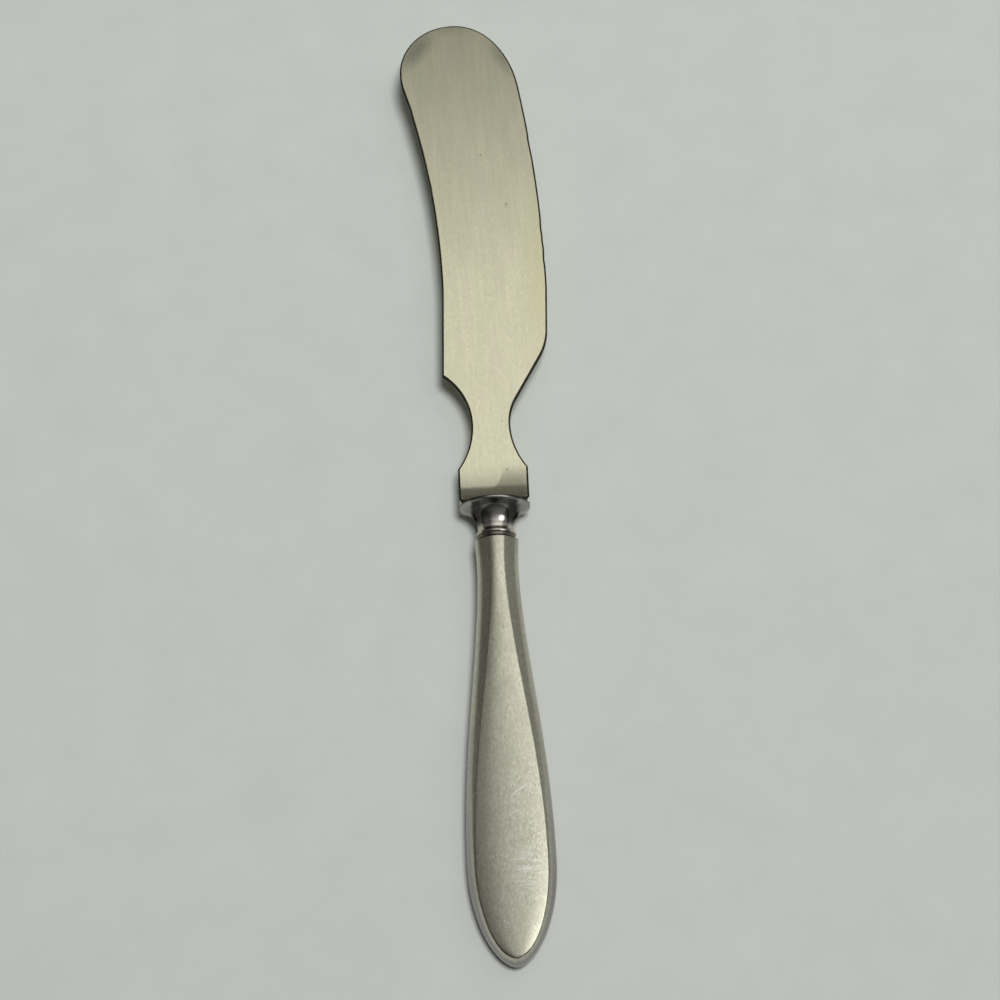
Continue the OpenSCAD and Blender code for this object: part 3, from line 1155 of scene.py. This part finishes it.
@dataclass
class Blade:
    """The flat blade with its thickened foot and its tang, one piece of metal.

    Heights are measured from the foot. The pulls are lengths of the tip's curve handles, as
    shares. The four normals tell walls, faces and bevels apart. A nick has its side, its height,
    its depth and its spread.
    """

    length: float = 84.5
    thickness: float = 1.1
    edge_reach: float = 10.0
    back_reach: float = 6.75
    fair_height: float = 36.5
    back_sweep: float = 5.05
    edge_draw: float = 2.9
    tip_length: float = 11.5
    tip_crest: float = 3.3
    edge_pulls: Flat = (0.44, 0.59)
    back_pulls: Flat = (0.56, 0.71)
    edge_bevel: float = 0.28
    foot_width: float = 10.9
    foot_length: float = 6.2
    corner_cut_width: float = 0.7
    corner_cut_height: float = 1.0
    waist_width: float = 6.1
    waist_height: float = 13.5
    heel: Flat = (7.3, 22.0)
    shoulder_foot: Flat = (4.15, 17.6)
    shoulder_top: Flat = (9.55, 26.7)
    shoulder_round: float = 9.5
    ramp_length: float = 3.2
    ramp_rise: float = 1.6
    ramp_steps: int = 16
    back_limit: float = 12.165
    tang_width: float = 3.6
    tang_length: float = 34.0
    side_steps: int = 46
    tip_steps: int = 26
    waist_steps: int = 18
    shoulder_steps: int = 16
    shoulder_round_steps: int = 14
    wall_normal: float = 0.2
    face_normal: float = 0.5
    level_normal: float = 0.97
    side_normal: float = 0.15
    sharp_angle: float = 18.0
    nicks: tuple[tuple[Side, float, float, float], ...] = (
        (Side.EDGE, 62.5, 0.10, 0.9),
        (Side.EDGE, 60.8, 0.07, 0.6),
        (Side.EDGE, 47.0, 0.12, 1.1),
        (Side.EDGE, 44.6, 0.08, 0.7),
        (Side.EDGE, 41.5, 0.10, 0.8),
        (Side.BACK, 69.5, 0.09, 1.2),
        (Side.BACK, 55.0, 0.05, 0.8),
    )

    def outline(self) -> list[Flat]:
        """Outline of the blade, up the cutting edge and down the back.

        Returns:
            The outline's points.
        """
        half = self.foot_width / 2
        tip_start = self.length - self.tip_length
        waist = (self.waist_width / 2, self.waist_height)
        foot = hollow(waist, (half, self.foot_length), self.waist_steps)
        corner = [(half - self.corner_cut_width, 0.0), (half, self.corner_cut_height)]
        edge_fair = (self.edge_reach, self.fair_height)
        edge_end = (self.edge_reach - self.edge_draw, tip_start)
        edge_side = hollow(edge_fair, edge_end, self.side_steps)
        back_fair = (self.back_reach, self.fair_height)
        back_end = (self.back_reach + self.back_sweep, tip_start)
        back_side = flipped(hollow(back_fair, back_end, self.side_steps))
        shoulder = [Vector(p) for p in (self.shoulder_foot, self.shoulder_top, edge_fair)]
        right = (
            corner
            + foot[::-1]
            + hollow(waist, self.shoulder_foot, self.shoulder_steps)[1:]
            + rounded(*shoulder, self.shoulder_round, self.shoulder_round_steps)
            + edge_side
        )
        tip = (
            self.half_tip(edge_side, self.edge_pulls)[1:]
            + self.half_tip(back_side, self.back_pulls)[-2:0:-1]
        )
        left = (
            back_side[::-1]
            + flipped(hollow(waist, self.heel, self.waist_steps))[::-1]
            + flipped(foot)[1:]
            + flipped(corner)[::-1]
        )
        return [self.nicked(p) for p in right + tip + left]

    def half_tip(self, side: Sequence[Flat], pulls: Flat) -> list[Flat]:
        """Curve from the end of a long side to the crest of the tip.

        Args:
            side: The long side, towards the tip.
            pulls: Lengths of the curve's handles, as shares: at the side and at the crest.

        Returns:
            The curve's points.
        """
        end, crest = Vector(side[-1]), Vector((-self.tip_crest, self.length))
        lean = (end - Vector(side[-2])).normalized()
        along = end + lean * self.tip_length * pulls[0]
        across = crest + Vector(((end.x - crest.x) * pulls[1], 0.0))
        return cubic(end, along, across, crest, self.tip_steps)

    def nicked(self, point: Flat) -> Flat:
        """Moves an outline point in where the edge has a nick.

        Args:
            point: A point of the outline.

        Returns:
            The point, in a nick a little nearer to the knife's axis.
        """
        x, y = point
        for side, place, depth, spread in self.nicks:
            if x * side.value > 0 and y > self.fair_height:
                x -= side.value * depth * math.exp(-(((y - place) / spread) ** 2))
        return max(x, -self.back_limit), y

    def half(self, y: float) -> float:
        """Half thickness at a height, with the ramp that thickens the foot.

        Args:
            y: The height.

        Returns:
            The half thickness.
        """
        radius = (self.ramp_length**2 + self.ramp_rise**2) / (2 * self.ramp_rise)
        along = max(self.ramp_length - y, 0.0)
        return self.thickness / 2 + radius - math.sqrt(radius * radius - along * along)

    def build(self) -> bpy.types.Object:
        """Draws the outline, pulls it to its thickness, raises the foot and bevels the edges.

        Returns:
            The blade, in the knife's axes.
        """
        half = self.thickness / 2
        pen = Pen("blade_and_tang")
        pen.trace([(x, y, -half) for x, y in self.outline()])
        pen.fill()
        pen.pull((0.0, 0.0, self.thickness))
        for i in range(1, self.ramp_steps + 1):
            y = self.ramp_length * i / self.ramp_steps
            bpy.ops.mesh.select_all(action="SELECT")
            cut_across((0.0, y, 0.0), (0.0, 1.0, 0.0))
        for y in sorted({round(v.co.y, 4) for v in bmesh.from_edit_mesh(pen.piece.data).verts}):
            if y < self.ramp_length - NEAR:
                pick("VERT", lambda v, y=y: abs(v.co.y - y) < SAME_ROW)
                bpy.ops.transform.resize(
                    value=(1.0, 1.0, self.half(y) / half), center_override=(0.0, 0.0, 0.0)
                )
        self.pull_tang(pen)
        bpy.ops.mesh.select_all(action="SELECT")
        bpy.ops.mesh.normals_make_consistent(inside=False)
        self.bevel()
        made = pen.done()
        smooth(made, self.sharp_angle)
        return made

    def pull_tang(self, pen: Pen) -> None:
        """Cuts the tang's outline in the foot's lower wall and extrudes the tang from it.

        Args:
            pen: The pen that drew the blade.
        """
        wide, thick = self.tang_width / 2, self.thickness / 2
        for place, normal in (
            ((-wide, 0.0, 0.0), (1.0, 0.0, 0.0)),
            ((wide, 0.0, 0.0), (1.0, 0.0, 0.0)),
            ((0.0, 0.0, -thick), (0.0, 0.0, 1.0)),
            ((0.0, 0.0, thick), (0.0, 0.0, 1.0)),
        ):
            pick("FACE", lambda f: all(abs(v.co.y) < NEAR for v in f.verts))
            cut_across(place, normal)
        pick("FACE", lambda f: all(
            abs(v.co.y) < NEAR and abs(v.co.x) < wide + SLACK and abs(v.co.z) < thick + SLACK
            for v in f.verts
        ))
        pen.pull((0.0, -self.tang_length, 0.0))

    def bevel(self) -> None:
        """Breaks the long edges of both faces and gives the bevels and walls the second slot."""

        def along_outline(edge: object) -> bool:
            """Tells whether an edge lies between a face of the plate and its wall.

            Args:
                edge: An edge of the edited mesh.

            Returns:
                Whether it does.
            """
            if len(edge.link_faces) != 2 or min(v.co.y for v in edge.verts) < -SLACK:
                return False
            low, high = sorted(abs(face.normal.z) for face in edge.link_faces)
            off_middle = all(abs(v.co.z) > self.thickness / 2 - 5 * SLACK for v in edge.verts)
            return low < self.wall_normal and high > self.face_normal and off_middle

        pick("EDGE", along_outline)
        bpy.ops.mesh.bevel(offset=self.edge_bevel, segments=2, profile=0.55)
        mesh = bmesh.from_edit_mesh(bpy.context.object.data)
        for face in mesh.faces:
            y, normal = face.calc_center_median().y, face.normal
            on_plate = y > self.ramp_length + 5 * SLACK or abs(normal.x) > self.side_normal
            if y > -SLACK and abs(normal.z) < self.level_normal and on_plate:
                face.material_index = 1
        bmesh.update_edit_mesh(bpy.context.object.data)


@dataclass
class Bolster:
    """The turned bolster: flange, trumpet, neck, bead and collar, with its spigot and slot.

    The overlap is how far the spigot reaches into the turned body, and how far the block that
    cuts the slot stands out of its face.
    """

    flange_diameter: float = 10.99
    rim_thickness: float = 0.45
    rim_round: float = 0.1
    neck_diameter: float = 5.6
    neck_start: float = 3.6
    neck_length: float = 0.4
    bead_diameter: float = 6.2
    bead: float = 0.6
    bead_rise: float = 0.15
    collar: float = 0.5
    length: float = 5.6
    collar_chamfer: float = 0.05
    face_inset: float = 0.6
    spigot_length: float = 4.0
    spigot_margin: float = 0.62
    mouth_gap: float = 0.15
    slot_room: float = 0.05
    overlap: float = 0.2
    trumpet_sweep: float = 62.0
    rim_degrees: int = 15
    trumpet_steps: int = 28
    round_steps: int = 12
    spin_steps: int = 128
    sharp_angle: float = 25.0

    def profile(self) -> list[Spot]:
        """Half section of the turned body, from the flange's face down to the collar.

        Returns:
            The section's points, in the plane of X and Y.
        """
        lip = self.flange_diameter / 2 - self.rim_round
        neck = self.neck_diameter / 2
        neck_end = self.neck_start + self.neck_length
        foot = self.bead_diameter / 2 - self.bead_rise
        collar_top = self.collar - self.length
        cove = -collar_top - self.bead - neck_end
        sweep = math.radians(self.trumpet_sweep)
        flare = (lip - neck) / (1 - math.cos(sweep))
        drop = (self.neck_start - self.rim_thickness) / math.sin(sweep)
        points = [(0.0, 0.0), (lip - self.face_inset, 0.0)]
        quarter = range(0, 91, self.rim_degrees)
        low = self.rim_round - self.rim_thickness
        for middle, turns in ((-self.rim_round, quarter[::-1]), (low, [-a for a in quarter])):
            for a in map(math.radians, turns):
                x, y = lip + self.rim_round * math.cos(a), middle + self.rim_round * math.sin(a)
                points.append((x, y))
        for i in range(self.trumpet_steps - 1, -1, -1):
            a = sweep * i / self.trumpet_steps
            points.append((neck + flare * (1 - math.cos(a)), drop * math.sin(a) - self.neck_start))
        for i in range(self.round_steps + 1):
            a = math.pi / 2 * i / self.round_steps
            points.append((foot - (foot - neck) * math.cos(a), -neck_end - cove * math.sin(a)))
        for i in range(1, self.round_steps + 1):
            a = math.pi / 2 - math.pi * i / self.round_steps
            rise = self.bead / 2 * (1 + math.sin(a))
            points.append((foot + self.bead_rise * math.cos(a), collar_top + rise))
        points += [
            (foot, self.collar_chamfer - self.length),
            (foot - self.collar_chamfer, -self.length),
            (0.0, -self.length),
        ]
        return [(x, y, 0.0) for x, y in points]

    def build(self, handle: "Handle", blade: Blade) -> bpy.types.Object:
        """Spins the profile, adds the spigot and cuts the slot.

        Args:
            handle: The handle, whose mouth gives the spigot's outline.
            blade: The blade, whose tang gives the slot.

        Returns:
            The bolster, in the knife's axes.
        """
        pen = Pen("bolster_turned")
        pen.trace(self.profile())
        bpy.ops.mesh.select_linked()
        bpy.ops.mesh.spin(
            steps=self.spin_steps, angle=math.tau, center=(0.0, 0.0, 0.0), axis=(0.0, 1.0, 0.0),
            use_auto_merge=True,
        )
        made = pen.done()
        tidy(made, NEAR)
        pen = Pen("spigot")
        root = self.overlap - self.length
        pen.trace([(x, root, z) for x, z in handle.ring(self.spigot_margin)])
        pen.fill()
        pen.pull((0.0, -self.overlap - self.mouth_gap - self.spigot_length, 0.0))
        spigot = pen.done()
        tidy(spigot, NEAR / 10)
        combine(made, spigot, "UNION")
        wide, thick = blade.tang_width / 2 + self.slot_room, blade.thickness / 2 + self.slot_room
        low, high = (-wide, -self.flange_diameter, -thick), (wide, self.overlap, thick)
        combine(made, block("slot_cut", low, high), "DIFFERENCE")
        tidy(made, NEAR / 2)
        smooth(made, self.sharp_angle)
        return made


@dataclass
class Handle:
    """The hollow handle: two pressed shells that meet at a seam.

    A size has its value at the mouth, the belly or the butt, and the powers shape how it goes
    from one to the next. The rows run across the handle, and the last one stands a little short
    of the butt's end.
    """

    length: float = 66.0
    mouth_y: float = -5.75
    mouth_width: float = 6.84
    lip_length: float = 5.0
    neck_width: float = 6.4
    belly_width: float = 13.3
    belly_place: float = 50.6
    mouth_thickness: float = 5.7
    belly_thickness: float = 6.2
    butt_thickness: float = 5.0
    mouth_side: float = 2.1
    belly_side: float = 1.3
    butt_side: float = 1.0
    wall: float = 0.5
    seam_gap: float = 0.1
    crown_share: float = 0.13
    mouth_crown_share: float = 0.09
    crown_fade: float = 9.0
    upright_share: float = 0.35
    upper_slope: float = 35.0
    mouth_upper_share: float = 0.75
    belly_upper_share: float = 0.5
    widen_power: float = 0.85
    side_power: float = 1.3
    upper_power: int = 3
    face_power: float = 1.05
    seam_power: float = 1.15
    arris_round: float = 0.1
    sharp_rows: int = 2
    body_rows: int = 44
    butt_rows: int = 18
    butt_short: float = 0.02
    sharp_angle: float = 30.0
    side_steps: int = 10
    face_steps: int = 16

    def half_width(self, d: float) -> float:
        """Half width without the lip.

        Args:
            d: Distance from the mouth.

        Returns:
            The half width.
        """
        t = max(d - self.lip_length, 0.0) / (self.belly_place - self.lip_length)
        widening = (self.belly_width - self.neck_width) * eased(t**self.widen_power)
        return (self.neck_width + widening) / 2

    def section(self, row: float, margin: float = 0.0, lipped: bool = True) -> list[Spot]:
        """Points over the front half of the handle's section, from the back's seam to the edge's.

        Args:
            row: Row from the mouth, where the body's rows come first and then the butt's.
            margin: How far the skin lies in from the outside.
            lipped: Whether the mouth's lip is there.

        Returns:
            The points.
        """
        d = self.belly_place * min(row / self.body_rows, 1.0)
        part = d / self.belly_place
        turn = math.pi / 2 * max(row - self.body_rows, 0.0) / self.butt_rows
        narrow = max(math.cos(turn), 0.0)
        lip = max(1 - d / self.lip_length, 0.0) ** 2 * (self.mouth_width - self.neck_width) / 2
        whole = self.half_width(d) + (lip if lipped else 0.0)
        side = between(self.mouth_side, self.belly_side, eased(part**self.side_power))
        upper_share = between(
            self.mouth_upper_share, self.belly_upper_share, part**self.upper_power
        )
        crown = self.crown_share + self.mouth_crown_share * math.exp(-d / self.crown_fade)
        thick = between(self.mouth_thickness, self.belly_thickness, eased(part))
        thick += (self.butt_thickness - self.belly_thickness) * (1 - math.cos(turn))
        top = thick / 2 - margin
        flat = (whole - side - margin / 2) * narrow**self.face_power
        floor = self.seam_gap / 2
        run = (self.length - margin - self.belly_place) * math.sin(turn)
        seam_x = (whole - margin) * narrow**self.seam_power
        seam = Vector((seam_x, self.mouth_y - d - run, floor))
        edge = Vector((flat, seam.y + self.butt_side * math.sin(turn), top - crown * flat))
        upright = Vector((seam.x, seam.y, floor + (edge.z - floor) * self.upright_share))
        out = Vector((seam.x - edge.x, seam.y - edge.y, 0.0)) * upper_share
        fall = out.length * math.tan(math.radians(self.upper_slope))
        upper = edge + out - Vector((0.0, 0.0, fall))

        def over(sign: float, t: float) -> Spot:
            """Point of one side.

            Args:
                sign: 1 on the edge's side and -1 on the back's.
                t: From 0 at the seam to 1 at the arris.

            Returns:
                The point.
            """
            s = 1 - t
            point = s**3 * seam + 3 * s * s * t * upright + 3 * s * t * t * upper + t**3 * edge
            return sign * point.x, point.y, point.z

        left = [over(-1.0, i / self.side_steps) for i in range(self.side_steps)]
        right = [over(1.0, i / self.side_steps) for i in range(self.side_steps - 1, -1, -1)]
        face = []
        for i in range(self.face_steps + 1):
            s = 2 * i / self.face_steps - 1
            face.append((flat * s, edge.y, top - crown * flat * s * s))
        return left + face + right

    def ring(self, margin: float) -> list[Flat]:
        """Closed outline of the handle's section at its mouth, in X and Z.

        Args:
            margin: How far it lies in from the outside.

        Returns:
            The outline's points.
        """
        half = self.section(0.0, margin, False)
        floor = self.seam_gap / 2
        upper = [(x, z - floor) for x, _, z in half]
        return upper + [(x, -z) for x, z in reversed(upper[1:-1])]

    def build(self) -> list[bpy.types.Object]:
        """Draws the section row by row, bridges the rows and gives the skin its thickness.

        Returns:
            The front and back shells, in the knife's axes.
        """
        rows = self.body_rows + self.butt_rows
        pen = Pen("handle_shell_front")
        arris = set()
        for row in range(rows + 1):
            points = self.section(min(row, rows - self.butt_short))
            pen.trace(points)
            if row < rows - self.sharp_rows:
                for column in (self.side_steps, self.side_steps + self.face_steps):
                    arris.add(hundredths(points[column]))
        pen.bridge()
        self.round_arris(arris)
        front = pen.done()
        self.close_butt(front)
        apply(
            front, "SOLIDIFY", thickness=self.wall, offset=-1.0, use_even_offset=True,
            use_quality_normals=True, thickness_clamp=1.0,
        )
        take(front)
        bpy.ops.object.duplicate()
        back = bpy.context.object
        back.name = "handle_shell_back"
        back.data.name = "handle_shell_back"
        with editing(back):
            bpy.ops.transform.resize(value=(1.0, 1.0, -1.0), center_override=(0.0, 0.0, 0.0))
            bpy.ops.mesh.flip_normals()
        for shell in (front, back):
            smooth(shell, self.sharp_angle)
            apply(shell, "WEIGHTED_NORMAL", keep_sharp=True, weight=60)
        return [front, back]

    def round_arris(self, arris: set[Spot]) -> None:
        """Rounds the worn line between the face and the side.

        Args:
            arris: The line's points, to a hundredth.
        """

        def on_arris(edge: object) -> bool:
            """Tells whether both ends of an edge lie on the line and the edge follows it.

            Args:
                edge: An edge of the edited mesh.

            Returns:
                Whether it is on the line.
            """
            a, b = edge.verts
            if abs(a.co.y - b.co.y) < NEAR and abs(a.co.x) > 5 * SLACK:
                return False
            return hundredths(a.co) in arris and hundredths(b.co) in arris

        pick("EDGE", on_arris)
        bpy.ops.mesh.bevel(offset=self.arris_round, segments=2, profile=0.5, clamp_overlap=True)

    def close_butt(self, piece: bpy.types.Object) -> None:
        """Merges the last row to one line and points the skin's faces outwards.

        Args:
            piece: The skin, still without thickness.
        """
        with editing(piece):
            bpy.ops.mesh.remove_doubles(threshold=2 * SLACK)
            bpy.ops.mesh.normals_make_consistent(inside=False)
            mesh = bmesh.from_edit_mesh(piece.data)
            highest = max(mesh.faces, key=lambda face: face.calc_center_median().z)
            if highest.normal.z < 0:
                bpy.ops.mesh.flip_normals()


@dataclass
class Fillets:
    """Solder in the two cut corners of the blade's foot."""

    steps: int = 8
    hollow_depth: float = 0.02
    end_round: float = 0.08
    sharp_angle: float = 35.0

    def build(self, blade: Blade) -> bpy.types.Object:
        """Draws a hollow wedge for each corner and rounds its ends.

        Args:
            blade: The blade, whose foot gives the corners.

        Returns:
            Both fillets as one piece, in the knife's axes.
        """
        half = blade.foot_width / 2
        inner, height = half - blade.corner_cut_width, blade.corner_cut_height
        reach = blade.half(height) - blade.edge_bevel
        wedges = []
        for side in Side:
            pen = Pen("blade_solder")
            points = [(side.value * inner, 0.0, -reach)]
            for i in range(self.steps + 1):
                t = i / self.steps
                x = half - self.hollow_depth * math.sin(math.pi * t)
                points.append((side.value * x, height * t, -reach))
            pen.trace(points)
            pen.fill()
            pen.pull((0.0, 0.0, 2 * reach))
            wedges.append(pen.done())
            tidy(wedges[-1], NEAR / 10)
        take(wedges[0])
        wedges[1].select_set(True)
        bpy.ops.object.join()
        made = bpy.context.object
        made.name = "blade_solder_fillets"
        with editing(made):
            pick("EDGE", lambda e: all(
                abs(abs(v.co.z) - reach) < NEAR and v.co.y > NEAR for v in e.verts
            ))
            bpy.ops.mesh.bevel(offset=self.end_round, segments=3)
        smooth(made, self.sharp_angle)
        return made


# ---- Studio ----


@dataclass(frozen=True)
class Sky:
    """Soft studio surround: brightness by direction, across the knife and along it.

    Each table gives places from -1 to 1 on its axis and the level of light from there.
    """

    across: tuple[Flat, ...] = (
        (-1.0, 0.07), (-0.55, 0.07), (-0.4, 0.18), (-0.2, 0.41), (0.0, 0.57), (0.12, 0.64),
        (0.3, 0.68), (0.52, 0.68), (0.6, 0.55), (0.72, 0.2), (1.0, 0.12),
    )
    along: tuple[Flat, ...] = (
        (-1.0, 0.1), (-0.6, 0.2), (-0.3, 0.45), (-0.12, 0.95), (0.05, 1.08), (0.14, 0.98),
        (0.19, 0.78), (0.23, 0.75), (0.26, 1.2), (0.29, 1.9), (0.33, 2.6), (0.36, 2.55),
        (0.395, 1.5), (0.42, 0.88), (0.445, 0.5), (0.48, 0.32), (0.6, 0.24), (0.75, 0.26),
        (1.0, 0.35),
    )
    tint: Colour = (1.0, 0.995, 0.98)
    backdrop: Colour = (0.53, 0.55, 0.52)

    def build(self) -> None:
        """Makes the world's nodes."""
        world = bpy.data.worlds.new("studio")
        bpy.context.scene.world = world
        world.use_nodes = True
        world.node_tree.nodes.clear()
        g = Nodes(world.node_tree)
        way = g.node("ShaderNodeTexCoord").outputs["Generated"]
        across, along = (
            g.ramp(
                g.fit(g.axis(way, axis), -1.0, 1.0),
                [((place + 1) / 2, (level, level, level)) for place, level in table],
            )
            for axis, table in (("X", self.across), ("Y", self.along))
        )
        level = g.mix(1.0, g.mix(1.0, across, along, "MULTIPLY"), self.tint, "MULTIPLY")
        light = g.node("ShaderNodeBackground", {"Color": level})
        seen = g.node("ShaderNodeBackground", {"Color": self.backdrop})
        choice = g.node("ShaderNodeMixShader", {
            0: g.node("ShaderNodeLightPath").outputs["Is Camera Ray"],
            1: light.outputs[0],
            2: seen.outputs[0],
        })
        g.node("ShaderNodeOutputWorld", {"Surface": choice.outputs[0]})


@dataclass(frozen=True)
class Lamp:
    """A soft round lamp that looks at the knife, from a way and a distance in metres.

    Its level is how bright it looks, where 1 is white, and its power follows from that.
    """

    name: str
    way: Spot
    distance: float
    diameter: float
    level: float
    in_metal: bool = True
    on_table: bool = True

    def build(self) -> None:
        """Adds the lamp."""
        select_none()
        way = Vector(self.way).normalized()
        bpy.ops.object.light_add(type="AREA", location=way * self.distance)
        lamp = bpy.context.object
        lamp.name = self.name
        lamp.rotation_euler = way.to_track_quat("Z", "Y").to_euler()
        lamp.data.shape = "DISK"
        lamp.data.size = self.diameter
        lamp.data.energy = self.level * math.pi * math.pi * (self.diameter / 2) ** 2
        lamp.visible_glossy = self.in_metal
        lamp.visible_diffuse = self.on_table


@dataclass
class Studio:
    """Table, light and camera round the knife."""

    lay: Lay
    eye: Spot = (0.0, -139.62, 393.0)
    aim: Spot = (0.0, -0.45, 0.0)
    lens: float = 96.7
    roll: float = 2.77
    shift: Flat = (0.0051, 0.0088)
    film_width: float = 36.0
    clip: Flat = (0.01, 20.0)
    table_size: float = 3.0
    table_cuts: int = 6
    lamps: tuple[Lamp, ...] = (
        Lamp(
            "key_lamp", way=(0.62, -0.16, 0.77), distance=0.8, diameter=0.5, level=1.4,
            on_table=False,
        ),
        Lamp(
            "overhead_lamp", way=(0.12, -0.13, 1.0), distance=1.2, diameter=0.31, level=47.5,
            in_metal=False,
        ),
    )

    def build(self) -> None:
        """Makes the table, the light and the camera."""
        self.table()
        Sky().build()
        for lamp in self.lamps:
            lamp.build()
        self.camera()
        bpy.context.scene.view_settings.view_transform = "Standard"

    def table(self) -> None:
        """Lays the pale surface under the knife, cut into squares."""
        select_none()
        bpy.ops.mesh.primitive_plane_add(size=self.table_size)
        table = bpy.context.object
        table.name = "table"
        with editing(table):
            bpy.ops.mesh.subdivide(number_cuts=self.table_cuts)
        dress(table, [Tablecloth().material(self.lay)])
        log.info("table laid")

    def camera(self) -> None:
        """Sets the camera where the photographer stood."""
        select_none()
        place = self.lay.matrix()
        eye, aim = place @ Vector(self.eye), place @ Vector(self.aim)
        ahead = (aim - eye).normalized()
        right = Vector((1.0, 0.0, 0.0))
        up = right.cross(ahead)
        roll = math.radians(self.roll)
        x_axis = right * math.cos(roll) - up * math.sin(roll)
        y_axis = right * math.sin(roll) + up * math.cos(roll)
        bpy.ops.object.camera_add()
        camera = bpy.context.object
        camera.name = "camera"
        turn = Matrix((x_axis, y_axis, -ahead)).transposed()
        camera.matrix_world = Matrix.Translation(eye) @ turn.to_4x4()
        camera.data.sensor_width = self.film_width
        camera.data.lens = self.lens
        camera.data.shift_x, camera.data.shift_y = self.shift
        camera.data.clip_start, camera.data.clip_end = self.clip
        camera.data.dof.use_dof = False
        bpy.context.scene.camera = camera


def dress_nodes(lay: Lay) -> None:
    """Gives the CAD nodes that stay their own finishes.

    Args:
        lay: The knife's attitude.
    """
    finishes = {
        "handle_cement": Cement(),
        "mouth_solder": Solder("mouth_joint_dark", (0.16, 0.15, 0.13), (0.05, 0.05, 0.045), 0.6),
        "seam_solder": Solder("seam_joint_grey", (0.34, 0.33, 0.29), (0.16, 0.15, 0.13)),
    }
    for name, finish in finishes.items():
        node = frame["nodes"][name]
        material = finish.material(lay)
        for slot in node.material_slots:
            slot.material = material
        log.info("%s: the CAD node stays, finished as %s", name, material.name)


def main() -> None:
    """Builds the knife piece by piece, then the studio."""
    logging.basicConfig(level=logging.INFO, format="%(message)s")
    lay = Lay.read(frame["record"])
    blade, bolster, handle = Blade(), Bolster(), Handle()

    plate = lay.lay(blade.build())
    dress(plate, [BrushedPlate().material(lay), DarkBevel().material(lay)])
    enter(plate, Slot.BLADE, "blade")

    turned = lay.lay(bolster.build(handle, blade))
    dress(turned, [MirrorSilver().material(lay)])
    enter(turned, Slot.BOLSTER, "bolster")

    satin = SatinSilver().material(lay)
    for shell, node in zip(handle.build(), ("handle_front", "handle_back")):
        dress(lay.lay(shell), [satin])
        enter(shell, Slot.HANDLE, node)

    fillets = lay.lay(Fillets().build(blade))
    pale = Solder("foot_joint_pale", (0.88, 0.87, 0.80), (0.62, 0.60, 0.54), 0.35)
    dress(fillets, [pale.material(lay)])
    enter(fillets, Slot.SOLDER, "blade_solder")

    dress_nodes(lay)
    Studio(lay).build()


if __name__ == "__main__":
    main()
